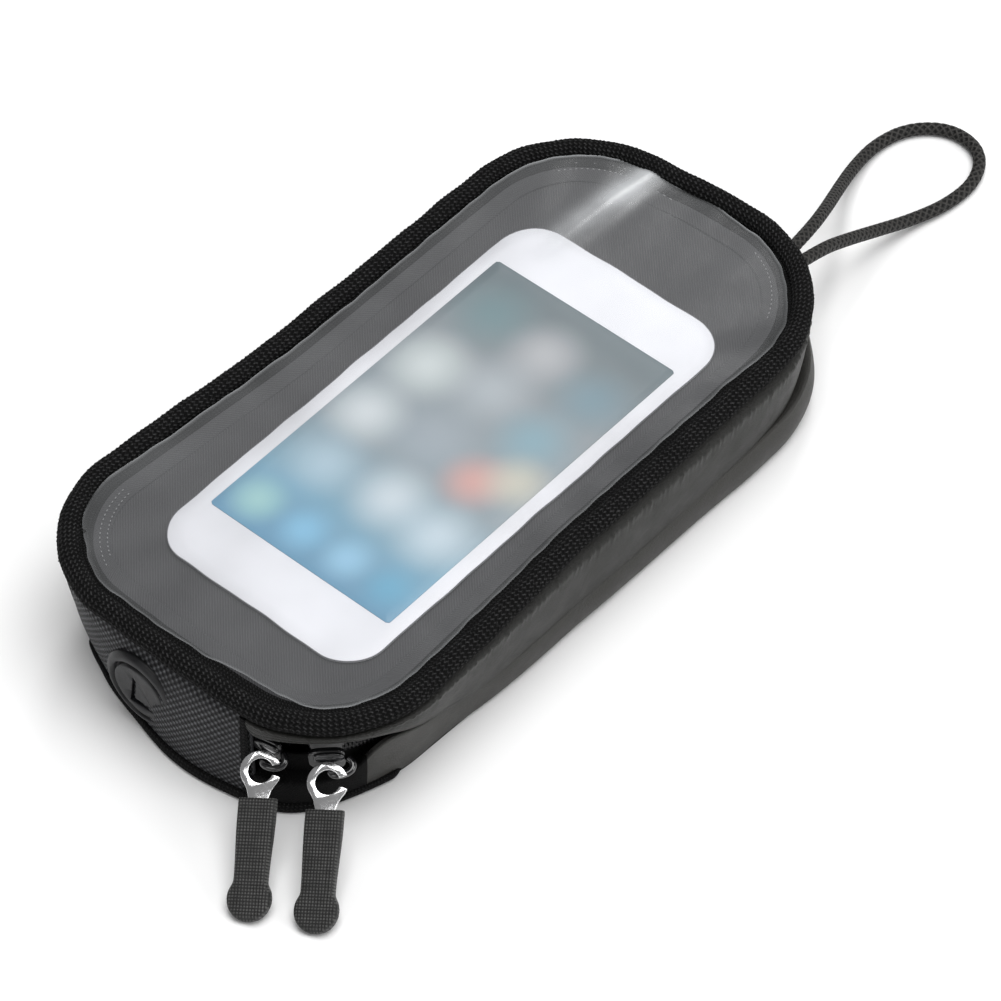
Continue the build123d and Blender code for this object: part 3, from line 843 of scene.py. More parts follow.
def make_upper_wall(looks):
    """Bulging coated-cloth wall under the piping, which ends in the rain flap."""
    rows, outer, inner = 1500, 34, 12
    s = np.linspace(S_RIGHT + 0.4, S_LEFT - 0.4, rows)
    edge = flap_edge(s)
    end_round = 3.4
    to_end = 1 - np.clip(np.minimum(s - s[0], s[-1] - s) / end_round, 0, 1)
    edge = edge + end_round * (1 - np.sqrt(np.clip(1 - to_end ** 2, 0, 1)))
    top, seam = 31.6, 0.17    # the wall's upper edge, and the seam's share of the way down
    t = np.linspace(0, 1, outer)[None, :]
    drop = top - edge[:, None]
    z_out = top - drop * t
    fold = 0.9 + 0.35 * smooth_bumps(s, (61, 97), 1.0)[:, None]
    bulge = fold * np.sin(np.pi * np.clip(t * 1.02, 0, 1)) ** 0.8
    lip = 0.25 * np.exp(-((t - seam) / 0.06) ** 2)
    gather = smooth_bumps(s, (1.7, 2.3, 3.1, 4.3), 0.20)[:, None] * np.exp(-((t - seam) / 0.09) ** 2)
    soft = smooth_bumps(s, (33, 54, 88), 0.16)[:, None] * np.sin(np.pi * t)
    hem = 0.22 * np.exp(-((z_out - edge[:, None] - 1.6) / 0.35) ** 2)
    tuck = 3.3 * (1 - smoothstep(t, 0.02, 0.15))
    far_corner = np.exp(-((s - rail.find(47, 80)) / 19) ** 2)[:, None]
    in_out = 0.5 + tuck - bulge - lip - gather - soft + hem + 2.2 * far_corner * t ** 1.3
    half = 0.55
    turn = np.linspace(0, math.pi, 7)[None, 1:-1]
    in_fold = (in_out[:, -1:] + half) - half * np.cos(turn)
    z_fold = z_out[:, -1:] - half * np.sin(turn)
    t_in = np.linspace(1, 0, inner)[None, :]
    z_in = top - drop * t_in
    in_in = np.stack([np.interp(t_in[0], t[0], row) for row in in_out]) + 2 * half
    inset = np.hstack([in_out, in_fold, in_in])
    z = np.hstack([z_out, z_fold, z_in])
    rail_piece("side_wall_and_rain_flap", s, inset, z, looks["cloth"], "lid",
               ["upper_wall"])


def tray_top(s):
    """Height of the shallow tray wall, taller beside the sliders."""
    at_corner = [(-32, 10.8), (-29, 22.5), (-20, 22.8), (-8, 20.5)]
    at_side = [(54.5, -60, 16.0), (54, -45, 11.4), (51.3, 10, 10.6), (44, 84, 13.0), (-44, 84, 12.0),
               (-54, -40, 10.8)]
    return height_line(s, 10.8, at_corner, at_side, 11.0)


def make_tray_wall(looks):
    """Lighter tray wall that pokes out past the flap at the loop end's right corner."""
    rows, up = 1000, 18
    s = np.linspace(S_RIGHT + 0.6, S_LEFT - 0.6, rows)
    top = tray_top(s)[:, None]
    far_corner = rail.find(44, 82)
    poke = 1.0 * np.exp(-((s - far_corner) / 26) ** 2)
    t = np.linspace(0, 1, up)[None, :]
    z_out = 1.0 + (top - 1.0 - 0.8) * t
    side = smoothstep(s, rail.find(54, -60), rail.find(52, -25))
    side *= 1 - smoothstep(s, rail.length * 0.62, rail.length * 0.7)
    belly = (0.9 + poke + 1.1 * side)[:, None] * np.sin(np.pi * (0.15 + 0.65 * t)) ** 0.7
    soft = smooth_bumps(s, (29, 47, 71), 0.14)[:, None] * np.sin(np.pi * t)
    in_out = 1.3 - belly - soft
    turn = np.linspace(0, math.pi / 2, 6)[None, 1:]
    in_round = in_out[:, -1:] + 0.8 * (1 - np.cos(turn))
    z_round = z_out[:, -1:] + 0.8 * np.sin(turn)
    ledge = np.linspace(0, 1, 6)[None, 1:]
    in_ledge = in_round[:, -1:] * (1 - ledge) + 6.2 * ledge
    z_ledge = np.minimum(z_round[:, -1:], 10.6 + 0 * ledge) * ledge + z_round[:, -1:] * (1 - ledge)
    in_back = np.hstack([in_ledge[:, ::-1], in_round[:, ::-1] + 0.9, in_out[:, ::-1] + 1.1])
    z_back = np.hstack([z_ledge[:, ::-1] - 0.9, z_round[:, ::-1] - 0.7, z_out[:, ::-1]])
    z_back = np.maximum(z_back, 1.0)
    inset = np.hstack([in_out, in_round, in_ledge, in_back])
    z = np.hstack([z_out, z_round, z_ledge, z_back])
    tray = rail_piece("tray_wall", s, inset, z, looks["cloth_light"], "tub",
                      ["lower_wall"])
    # Beside the sliders, up to the corner, the wall takes the dark tape look, so it shows darker there.
    tray.data.materials.append(looks["tape"])
    row_of = np.repeat(np.arange(rows - 1), inset.shape[1])
    for index in np.flatnonzero(s[row_of] < corner_s(-31)):
        tray.data.polygons[index].material_index = 1


def panel_bulge(s, t):
    """How far the port end stands out, in mm, at share t of its height."""
    middle = (S_LEFT - rail.length + S_RIGHT) / 2
    half = (S_RIGHT - S_LEFT + rail.length) / 2
    across = np.clip(1 - ((s[:, None] - middle) / (half * 1.08)) ** 2, 0, 1)
    return 1.5 * across ** 0.6 * np.sin(np.pi * np.clip(t, 0, 1)) ** 0.8


def make_end_panel(looks):
    """Woven end panel from the binding up to the piping, bulging near the base."""
    rows, up = 260, 40
    s = np.linspace(S_LEFT - rail.length - 0.5, S_RIGHT + 0.9, rows)
    t = np.linspace(0, 1, up)[None, :]
    z_out = PANEL_FOOT + (PANEL_TOP - PANEL_FOOT) * t + 0 * s[:, None]
    lines = smooth_bumps(s, (17, 26, 41), 0.16)[:, None] * np.sin(np.pi * t)
    crease = 0.35 * np.exp(-((t - 0.93) / 0.03) ** 2)
    in_out = 1.1 - panel_bulge(s, t) - lines + crease + 1.2 * smoothstep(t, 0.93, 1.0)
    inset, z = folded(in_out, z_out, 1.1)
    return rail_piece("woven_end_panel", s, inset, z, looks["nylon"], None,
                      ["end_panel"])


def make_binding(looks):
    """Knit tape round the base seam."""
    rows, cols, stitches = 1100, 20, 560
    s, turn = all_round(rows), circle(cols)
    phase = s[:, None] / rail.length * stitches + np.abs(np.sin(2 * turn))[None, :]
    stitch = 0.05 * np.sin(2 * math.pi * phase)
    sway = smooth_bumps(s, shares(11, 19, 31), 0.12)
    middle = 0.5 * S_RIGHT
    away = np.minimum(np.abs(s - middle), np.abs(s - rail.length - middle))
    tuck = smoothstep(away, corner_s(-15) - middle, corner_s(-5) - middle)
    inset = (0.45 + 1.5 * tuck - sway)[:, None] - (0.85 + stitch) * np.cos(turn)[None, :]
    tall = (1.6 - 0.7 * tuck)[:, None] + stitch
    z = 0.15 + tall + tall * np.sin(turn)[None, :]
    points = rail.section(s, inset, z)
    mesh = grid_mesh("base_binding", points, s, np.linspace(0, 8, cols, endpoint=False), wrap_rows=True)
    finish_object("base_binding", mesh, looks["binding"], "tub", ["bottom_binding"])


def make_seam_bindings(looks):
    """Upright knit tapes over both seams of the end panel."""
    rows, cols, low, high = 120, 16, 2.2, 30.6
    t, turn = np.linspace(0, 1, rows), circle(cols)
    z = low + (high - low) * t
    wide = 1.25 + 0.05 * np.sin(z * 5.2)
    thick = 0.42
    for name, s_mid in (("left", S_LEFT - rail.length + 0.2), ("right", S_RIGHT - 0.6)):
        point, normal = rail.at([s_mid])
        along = np.array([-normal[0, 1], normal[0, 0]])
        bulge = panel_bulge(np.array([s_mid]), t[None, :])[0] + rail.shift([s_mid], z[None, :])[0]
        out = 1.1 - bulge - 0.30
        off = wide[:, None] * np.cos(turn)[None, :]
        rise = thick * np.sin(turn)[None, :] * np.ones((rows, 1))
        xy = point[0] - normal[0] * (out[:, None, None] - rise[..., None]) + along * off[..., None]
        points = np.concatenate([xy, np.repeat(z[:, None], cols, 1)[..., None]], -1)
        mesh = grid_mesh(f"seam_tape_{name}", points, z, np.linspace(0, 5, cols, endpoint=False))
        finish_object(f"seam_tape_{name}", mesh, looks["binding"], "tub", [f"seam_binding_{name}"])


# ---------------------------------------------------------------- window, lining and card
SPINE_STEP = 2.5    # both sides of a filled outline meet at places this far apart


def rosette(name, s, inset_edge, insets, z_of, thickness, level=33.0):
    """A sheet that fills the outline: rings from the edge to the middle, closed underneath."""
    point, normal = rail.at(s)
    inward = inset_edge[:, None] - rail.shift(s, np.full((len(s), 1), level))
    edge = point - normal * inward
    spine_y = np.clip(np.round(edge[:, 1] / SPINE_STEP) * SPINE_STEP, -60, 60)
    spine = np.stack([np.zeros(len(s)), spine_y], -1)
    flat = np.stack([edge * (1 - share) + spine * share for share in insets], 1)
    top = np.concatenate([flat, z_of(flat)[..., None]], -1)
    bottom = top.copy()
    bottom[..., 2] -= thickness
    both = np.concatenate([top, bottom[:, ::-1]], 1)
    _, j, quads = quad_corners(len(s), both.shape[1], len(s))
    return filled_mesh(name, both, quads[j != len(insets) - 1], 0.02)


def film_height(flat):
    """Gentle waves in the vinyl, with one long crease towards the loop end."""
    x, y = flat[..., 0], flat[..., 1]
    dome = 0.9 * np.clip(1 - (x / 50) ** 2, 0, 1) * np.clip(1 - (y / 97) ** 4, 0, 1)
    waves = 0.16 * np.sin(x / 9.0 + y / 21.0 + 1.0) + 0.14 * np.sin(x / 5.5 - y / 17.0 + 0.4)
    crease = 0.85 * np.exp(-((x + 17 - 0.06 * (y - 70)) / 3.4) ** 2) * smoothstep(y, 38, 70)
    ripple = 0.14 * np.sin(np.arctan2(y, x * 1.6) * 23 + 0.6 * np.sin(y / 9.0))
    ripple *= smoothstep(np.hypot(x / 50, y / 96), 0.7, 1.0)
    return PIPING_Z + 0.35 + dome + waves + crease + ripple


# How far inside the outline the vinyl's edge lies: x, y, distance.
FILM_EDGE = [
    (0, -101, 7.4), (8, -101, 7.6), (14, -101, 8.8), (24, -100, 9.4), (33, -97, 9.2), (38, -96, 7.2),
    (46, -90, 7.0), (53, -75, 7.0), (52, -20, 7.2), (51, 50, 7.0), (47, 76, 5.6), (44, 86, 6.4),
    (30, 98, 6.4), (10, 101, 6.0), (6, 101, 4.6), (-18, 101, 4.8), (-46, 84, 5.8), (-51, 20, 6.4),
    (-54, -50, 6.0), (-54, -74, 4.8), (-49, -86, 5.4), (-44, -91, 7.2), (-34, -97, 6.4), (-20, -100, 6.6)]


def make_film(looks):
    """Clear vinyl window, stretched inside the piping."""
    rings = np.concatenate([np.linspace(0, 0.3, 12), np.linspace(0.34, 1.0, 24)])
    s = all_round(620)
    wobble = smooth_bumps(s, shares(13, 29, 47, 71), 0.14)
    edge = rail.read(rail.spread(FILM_EDGE), s)[:, 0]
    mesh = rosette("window_vinyl", s, edge + wobble, rings, film_height, 0.35)
    film = finish_object("window_vinyl", mesh, looks["film"], "lid", ["window_film"])


def make_lining(looks):
    """Pocket panel under the card, and the border that it closes against."""
    rings = np.linspace(0, 1.0, 26)
    s = all_round(480)

    def panel_height(flat):
        x, y = flat[..., 0], flat[..., 1]
        return 31.95 + 0.12 * np.sin(x / 8 + y / 13) * np.sin(y / 19 + 0.7)

    mesh = rosette("pocket_lining", s, np.full(len(s), 9.2), rings, panel_height, 0.5)
    panel = finish_object("pocket_lining", mesh, looks["lining"], "pocket_panel", ["pocket_flap"])

    s = all_round(700)
    columns = np.linspace(0, 1, 10)
    outer, inner, level = 8.0, 12.8, 32.95
    wave = 0.10 * smooth_bumps(s, shares(19, 31, 53), 1.0)[:, None]
    inset_top = outer + (inner - outer) * columns[None, :] + 0 * s[:, None]
    half_way = rail.length / 2
    from_port = np.abs((s - rail.find(-5, -101) + half_way) % rail.length - half_way)
    drop = (0.26 + 0.56 * smoothstep(from_port, 30, 40))[:, None]
    z_top = level + wave * np.sin(np.pi * columns) - drop * smoothstep(columns, 0.2, 1.0)
    inset, z = folded(inset_top, z_top, drop=0.25)
    rail_piece("lining_border", s, inset, z, looks["lining"], "lid", ["lid_lining"], wrap=True)


def rounded_outline(half_x, half_y, radius, per_corner, count):
    """Closed outline of a rounded rectangle with even points, anticlockwise."""
    points = []
    corners = ((1, -1, -90), (1, 1, 0), (-1, 1, 90), (-1, -1, 180))
    for sx, sy, start in corners:
        cx, cy = sx * (half_x - radius), sy * (half_y - radius)
        for turn in np.radians(start + np.linspace(0, 90, per_corner)):
            points.append((cx + radius * math.cos(turn), cy + radius * math.sin(turn)))
    return even_points(np.array(points), count)


def card_height(flat):
    """The card bows a little, as it follows the pocket."""
    x, y = flat[..., 0], flat[..., 1]
    return 0.05 * np.sin(y / 21.0 + 0.5) + 0.05 * np.sin(x / 12.0 + y / 30.0)


def slab_mesh(name, outline, z_low, z_high, edge, rings, lift):
    """Rounded slab over an outline, with eased edges and a bowed top."""
    centre = outline.mean(0)
    to_centre = (centre - outline) / np.linalg.norm(centre - outline, axis=1)[:, None]
    rows = []
    for shrink, z in ((edge, z_low), (0, z_low + edge), (0, z_high - edge),
                      (edge * 0.3, z_high - edge * 0.3), (edge, z_high)):
        rows.append(np.concatenate([outline + to_centre * shrink, np.full((len(outline), 1), z)], 1))
    top = rows[-1][:, :2]
    spine_y = np.clip(np.round((top[:, 1] - centre[1]) / SPINE_STEP) * SPINE_STEP, -35, 35) + centre[1]
    spine = np.stack([np.full(len(top), centre[0]), spine_y], -1)
    for share in np.linspace(0, 1, rings + 1)[1:]:
        inward = top * (1 - share) + spine * share
        rows.append(np.concatenate([inward, np.full((len(outline), 1), z_high)], 1))
    points = np.stack(rows, 0)
    points[..., 2] += lift(points[..., :2])
    count, cols, _ = points.shape
    quads = quad_corners(count, cols, count - 1)[2]
    return filled_mesh(name, points, quads, 0.01, [list(range(cols))])


def make_card(looks):
    """White phone-shaped card with a slightly wavy edge, and its blurred print."""
    middle, half = (CARD_LOW + CARD_HIGH) / 2, (CARD_HIGH - CARD_LOW) / 2
    outline = rounded_outline(half[0], half[1], 11.0, 24, 460) + middle[:2]
    s = np.arange(len(outline)) / len(outline)
    away = outline - middle[:2]
    away /= np.linalg.norm(away, axis=1, keepdims=True)
    waves = ((0.10, 9, 0.2), (0.09, 17, 0.6), (0.07, 31, 0.1))    # height, count, start
    wobble = sum(a * np.sin(2 * math.pi * (n * s + p)) for a, n, p in waves)
    outline = outline + away * (wobble - 0.1)[:, None]
    mesh = slab_mesh("white_card", outline, CARD_LOW[2], CARD_HIGH[2], 0.22, 10, card_height)
    finish_object("white_card", mesh, looks["card"], "card", ["insert_card"])

    # Dark grey line drawn along the card's outer edge, on its top.
    ring = np.vstack([outline, outline[:1]])
    ring = np.column_stack([ring, CARD_HIGH[2] - 0.1 + card_height(ring)])
    mesh = tube_mesh("card_rim", ring, 0.13, 8)
    finish_object("card_rim", mesh, looks["rim"], "card")

    middle, half = (PRINT_LOW + PRINT_HIGH) / 2, (PRINT_HIGH - PRINT_LOW) / 2
    outline = rounded_outline(half[0], half[1], 0.8, 6, 330) + middle[:2]
    mesh = slab_mesh("blurred_print", outline, PRINT_LOW[2] - 0.1, PRINT_HIGH[2], 0.04, 10, card_height)
    finish_object("blurred_print", mesh, looks["print"], "card", ["card_print"])


# ---------------------------------------------------------------- stitches
def stitch_mesh(name, spans, radius):
    """Many short threads in one mesh, each a thin six-sided capsule between two points."""
    sides = 6
    vertices, faces = [], []
    for start, end in spans:
        start, end = Vector(start), Vector(end)
        along = (end - start).normalized()
        side = along.cross(Vector((0.1, 0.2, 1))).normalized()
        up = side.cross(along)
        base = len(vertices)
        inner = along * radius
        for centre, scale in ((start, 0.35), (start + inner, 1.0), (end - inner, 1.0), (end, 0.35)):
            for turn in circle(sides):
                out = side * math.cos(turn) + up * math.sin(turn)
                vertices.append((centre + out * radius * scale) * MM)
        for ring in range(3):
            for k in range(sides):
                a, b = base + ring * sides + k, base + ring * sides + (k + 1) % sides
                faces.append((a, b, b + sides, a + sides))
        faces.append(tuple(base + k for k in range(sides))[::-1])
        faces.append(tuple(base + 3 * sides + k for k in range(sides)))
    mesh = bpy.data.meshes.new(name)
    mesh.from_pydata(vertices, [], faces)
    return mesh


def rail_stitches(s_start, s_end, inset, z, pitch, share):
    """Stitch ends along the outline between two distances."""
    spans = []
    for k in range(int((s_end - s_start) / pitch)):
        s = s_start + k * pitch
        point, normal = rail.at([s, s + pitch * share])
        ends = point - normal * inset
        spans.append(((*ends[0], z), (*ends[1], z)))
    return spans


def make_stitches(looks):
    """Light stitches that hold the pocket's lining."""
    far_right, far_left = rail.find(48, 78), rail.find(-48, 78)
    mid_far, near_left = rail.find(0, 101), rail.find(-45, -90)
    runs = ((far_right, far_right + 34, 10.6, 33.0), (mid_far + 6, far_left - 6, 11.4, 33.0),
            (mid_far + 10, far_left - 12, 9.4, 33.05), (near_left - 24, near_left + 14, 10.2, 33.0),
            (near_left - 24, near_left + 10, 12.0, 32.8))
    spans = [span for run in runs for span in rail_stitches(*run, pitch=2.1, share=0.45)]
    mesh = stitch_mesh("lining_stitches", spans, 0.14)
    finish_object("lining_stitches", mesh, looks["thread"], "lid")


# ---------------------------------------------------------------- zipper
COIL_PITCH = 1.27
COIL_INSET, TAPE_INSET = 5.5, 5.15
ZIPPER_SIDES = (("lower", "tub", -1), ("upper", "lid", 1))


def make_zipper(looks):
    """Coil halves with a rib for every tooth, and the woven tapes that carry them."""
    chain_low, chain_high = mm_box("lower_zipper_chain")
    half = chain_high[2] - chain_low[2]
    start = corner_s(-41.2)
    steps = int((S_LEFT - 0.5 - start) / COIL_PITCH)
    s, turn = np.linspace(start, start + steps * COIL_PITCH, steps * 6), circle(10)
    rib = 0.5 + 0.5 * np.cos(2 * math.pi * s / COIL_PITCH)
    inset = COIL_INSET - (0.95 + 0.35 * rib)[:, None] * np.cos(turn)
    tall = (half / 2 - 0.25 + 0.22 * rib)[:, None] * np.sin(turn)
    for name, body, sign in ZIPPER_SIDES:
        z = chain_high[2] + sign * half / 2 + tall
        rail_piece(f"{name}_coil", s, inset, z, looks["coil"], body,
                   [f"{name}_zipper_chain"])
    s = np.linspace(S_RIGHT + 1.2, S_LEFT - 0.6, 420)
    for name, body, _ in ZIPPER_SIDES:
        low, high = mm_box(f"{name}_zipper_tape")
        z_line = np.linspace(low[2] - 0.3, high[2] + 0.4, 8)[None, :] + 0 * s[:, None]
        outer = TAPE_INSET + smooth_bumps(s, (37, 59), 0.10)[:, None] + 0 * z_line
        inset, z = folded(outer, z_line, 0.6)
        rail_piece(f"{name}_tape", s, inset, z, looks["tape"], body, [f"{name}_zipper_tape"])


# ---------------------------------------------------------------- port
# Turned profile of the grommet: radius, distance out from the panel.
PORT_PROFILE = [
    (0.01, -1.1), (7.2, -1.1), (7.3, -6.0), (8.6, -6.2), (8.7, -1.5), (11.2, -1.3), (11.5, -0.2),
    (11.2, 0.35), (10.4, 0.95), (9.6, 1.2), (9.1, 1.05), (8.85, -0.3), (8.5, -0.5), (8.15, -0.3),
    (8.0, 1.05), (7.6, 1.2), (6.6, 1.15), (3.0, 1.0), (0.01, 0.95)]


def lathe_port(profile, centre, segments=96):
    """Turned shape about the port's axis."""
    turn = circle(segments)
    points = np.stack([np.stack([centre[0] + radius * np.cos(turn), np.full(segments, centre[1] - out),
                                 centre[2] + radius * np.sin(turn)], -1) for radius, out in profile])
    return grid_mesh("port_lathe", points, np.arange(len(profile), dtype=float),
                     np.linspace(0, 40, segments, endpoint=False))


def prism_object(points, y_low, y_high):
    """Plain prism over points given in X and Z, used as a cutter or as the tongue."""
    mesh = prism_mesh("prism", [(x, y_low, z) for x, z in points], [(x, y_high, z) for x, z in points])
    close_mesh(open_mesh(mesh), mesh)
    return add_object("prism", mesh)


def apply_modifiers(obj):
    """Replace an object's mesh by the mesh that its modifiers make."""
    shown = obj.evaluated_get(bpy.context.evaluated_depsgraph_get())
    mesh = bpy.data.meshes.new_from_object(shown)
    obj.modifiers.clear()
    obj.data = mesh
    return mesh


def make_port(looks):
    """Round rubber grommet with a raised ring, and an L-shaped slit in its membrane."""
    port_low, port_high = mm_box("cable_port")
    centre = (port_low + port_high) / 2
    centre[1] = port_low[1] + 1.5
    body = finish_object("port_grommet", lathe_port(PORT_PROFILE, centre), looks["rubber"], None)
    corner = np.array([centre[0] - 3.4, centre[2] - 5.4])
    across, upward = np.array([8.7, 0.9]), np.array([1.9, 9.8])
    opening = [corner, corner + across, corner + upward]
    cutter = prism_object(opening, port_low[1] - 5, port_low[1] + 3.2)
    cut = body.modifiers.new("opening", "BOOLEAN")
    cut.operation = "DIFFERENCE"
    cut.object = cutter
    apply_modifiers(body)
    bpy.data.objects.remove(cutter)
    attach(body, "tub")
    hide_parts("cable_port")
    slit, slip, trim = 1.6, 0.95, 1.1    # how far the tongue's corners stay inside the opening's
    flap = [corner + (slit, slit), corner + across + (-trim, slip), corner + upward + (slip, -trim)]
    tongue = prism_object(flap, centre[1] - 0.98, centre[1] + 1.0)
    tongue.name = "port_slit_tongue"
    tongue.data.materials.append(looks["rubber"])
    soften = tongue.modifiers.new("soften", "BEVEL")
    soften.width = 0.05 * MM
    soften.segments = 2
    apply_modifiers(tongue)
    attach(tongue, "tongue")
    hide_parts("port_tongue")


# ---------------------------------------------------------------- sliders and pulls
def local_frame(origin, across, along):
    """Matrix whose X is across, Y is along and Z stands off the face."""
    x = Vector(across).normalized()
    y = Vector(along)
    y = (y - x * y.dot(x)).normalized()
    z = x.cross(y)
    turn = Matrix((x, y, z)).transposed().to_4x4()
    return Matrix.Translation(Vector(origin) * MM) @ turn


def polygon_plate(name, outline, thickness, bevel, segments=3):
    """Flat plate over an outline in local X and Y, with rounded edges, in metres."""
    half = thickness / 2
    mesh = prism_mesh(name, [(x, y, -half) for x, y in outline], [(x, y, half) for x, y in outline])
    work = open_mesh(mesh)
    rims = [e for e in work.edges if abs(e.verts[0].co.z - e.verts[1].co.z) < 1e-9]
    bmesh.ops.bevel(work, geom=rims, offset=bevel * MM, segments=segments, affect="EDGES", profile=0.5)
    close_mesh(work, mesh)
    return mesh


def squarish(count, half_x, half_y, power_x, power_y, narrow=0.0):
    """Outline between an ellipse and a rectangle, which may narrow towards one end."""
    outline = []
    for turn in circle(count):
        c, s = math.cos(turn), math.sin(turn)
        x = math.copysign(abs(c) ** power_x, c) * half_x
        y = math.copysign(abs(s) ** power_y, s) * half_y * (1.0 - narrow * s)
        outline.append((x, y))
    return outline


def ring_and_neck():
    """Outline of the metal link: an open ring that tapers to a tongue."""
    outer, hole, centre = 4.85, 2.9, 3.85
    gap_low, gap_high = math.radians(-14), math.radians(24)
    neck_turn = math.radians(-42)

    def arc(radius, start, end, count):
        turns = np.linspace(start, end, count)
        return [(radius * math.cos(turn), centre - radius * math.sin(turn)) for turn in turns]

    neck = [(2.9, 8.4), (2.4, 10.2), (2.3, 14.6)]
    return (arc(hole, gap_high, 2 * math.pi + gap_low, 46) + arc(outer, gap_low, neck_turn, 6) + neck
            + [(-x, y) for x, y in neck[::-1]] + arc(outer, math.pi - neck_turn, gap_high, 44))


GRIP_START, GRIP_END = 10.4, 39.5
GRIP_ROLL = 14.0    # degrees by which the soft grips lean on their long axis


def grip_half_width(y):
    """Half the rubber grip's width at a distance from the hinge."""
    bulb = 5.5
    body = 4.7 - 0.55 * smoothstep(y, 14, 30)
    centre = GRIP_END - bulb
    round_end = np.sqrt(np.clip(bulb ** 2 - (y - centre) ** 2, 0, None))
    return np.where(y < centre - 3.2, body, np.maximum(round_end, np.where(y < centre, body, 0)))


def make_grip(name, place, material, body, node):
    """Moulded rubber grip with a fine grid of raised ribs on both faces."""
    rows, cols, end_rows, tip = 330, 150, 30, 0.05
    ends = 0.93 + 0.07 * np.sin(np.linspace(0, math.pi / 2, end_rows + 1)[1:])
    y = GRIP_START + (GRIP_END - GRIP_START) * np.concatenate([np.linspace(0, 0.93, rows - end_rows), ends])
    half = smoothed(np.maximum(grip_half_width(y), tip), 35)
    half[-1] = tip
    cos, sin = np.cos(circle(cols)), np.sin(circle(cols))
    across = np.sign(cos) * np.abs(cos) ** 0.32
    rise = np.sign(sin) * np.abs(sin) ** 0.55
    end_ease = np.clip((GRIP_END - y) / 1.4, 0, 1) ** 0.5
    end_ease *= 0.75 + 0.25 * smoothstep(y, GRIP_START, GRIP_START + 0.8)
    x = half[:, None] * across[None, :]
    thick = 1.6 * end_ease
    inner = smoothstep(half[:, None] - np.abs(x), 0.7, 1.0)
    inner *= smoothstep(y, GRIP_START + 1.0, GRIP_START + 1.4)[:, None]
    ribs = np.abs(np.sin(math.pi * x / 0.72)) * 0.6 + np.abs(np.sin(math.pi * y / 0.62))[:, None] * 0.4
    z = (thick[:, None] + 0.20 * inner * (ribs - 0.7)) * rise[None, :]
    points = np.stack([x, np.repeat(y[:, None], cols, 1), z], -1)
    matrix = np.array(place)
    world = points.reshape(-1, 3) * MM @ matrix[:3, :3].T + matrix[:3, 3]
    mesh = grid_mesh(name, (world / MM).reshape(points.shape), y, np.linspace(0, 24, cols, endpoint=False))
    set_uv(mesh, points[..., :2].reshape(-1, 2))
    finish_object(name, mesh, material, body, [node])


# Points of the wire bail, by how far they stand along, off and below the slider's foot.
BAIL = [
    (4.4, 0.0, 0.0), (5.6, 0.9, 0.4), (5.6, 2.4, 1.1), (4.3, 3.4, 1.5), (2.4, 3.9, 1.6), (0.8, 3.7, 1.7),
    (0.0, 2.6, 1.9), (0.0, 1.0, 1.9), (0.0, 0.0, 1.5)]


def make_slider(number, side, looks):
    """Glossy slider body with the wire bail through the link's ring."""
    pos = np.array(JOINTS[f"pull_{side}_swing"]["pos_m"]) / MM
    out = pos[:2] - CORNER[:2]
    out /= np.linalg.norm(out)
    radial = np.array([out[0], out[1], 0.0])
    along = np.array([-out[1], out[0], 0.0])
    track = np.array([CORNER[0], CORNER[1], pos[2]]) + radial * (CORNER_R - 5.5)
    up = np.array([0, 0, 1.0])
    plate = squarish(40, 3.3, 4.4, 0.55, 0.6, 0.13)
    hump = squarish(28, 1.7, 3.6, 0.7, 0.7)
    pieces = []
    for name, shape, offset, lift, thickness, bevel in (("outer", plate, 2.3, 0.0, 1.5, 0.45),
                                                        ("inner", plate, -2.3, 0.0, 1.3, 0.45),
                                                        ("hump", hump, 3.3, 1.3, 1.2, 0.5)):
        mesh = polygon_plate(f"slider_{number}_{name}", shape, thickness, bevel)
        mesh.transform(local_frame(track + radial * offset + up * lift, (0, 0, 1), along))
        pieces.append(mesh)
    foot = track + radial * 2.6
    line = np.array([foot + along * a + radial * b - up * c for a, b, c in BAIL])
    at = np.linspace(0, 1, len(line))
    fine = np.linspace(0, 1, 70)
    line = np.stack([np.interp(fine, at, line[:, k]) for k in range(3)], -1)
    for _ in range(30):
        line[1:-1] = 0.5 * line[1:-1] + 0.25 * (line[:-2] + line[2:])
    pieces.append(tube_mesh(f"slider_{number}_bail", line, 0.85, 16))
    joined = bpy.data.meshes.new(f"slider_body_{number}")
    work = bmesh.new()
    for piece in pieces:
        work.from_mesh(piece)
        bpy.data.meshes.remove(piece)
    work.to_mesh(joined)
    work.free()
    finish_object(f"slider_body_{number}", joined, looks["lacquer"], f"slider_{side}",
                  [f"slider_{number}"])


def make_pull(number, side, looks):
    """Metal link and its rubber grip, which hang from the slider's bail."""
    joint = JOINTS[f"pull_{side}_swing"]
    across = -np.array(joint["axis"])
    grip_low, grip_high = mm_box(f"pull_grip_{number}")
    hinge = np.array(joint["pos_m"]) / MM
    place = local_frame(hinge, across, (grip_low + grip_high) / 2 - hinge)
    mesh = polygon_plate(f"link_{number}", ring_and_neck(), 1.2, 0.2, 2)
    mesh.transform(place)
    finish_object(f"ring_link_{number}", mesh, looks["metal"], f"pull_{side}",
                  [f"pull_link_{number}"])
    place = place @ Matrix.Rotation(math.radians(GRIP_ROLL), 4, "Y")
    make_grip(f"ribbed_grip_{number}", place, looks["grip"], f"pull_{side}", f"pull_grip_{number}")


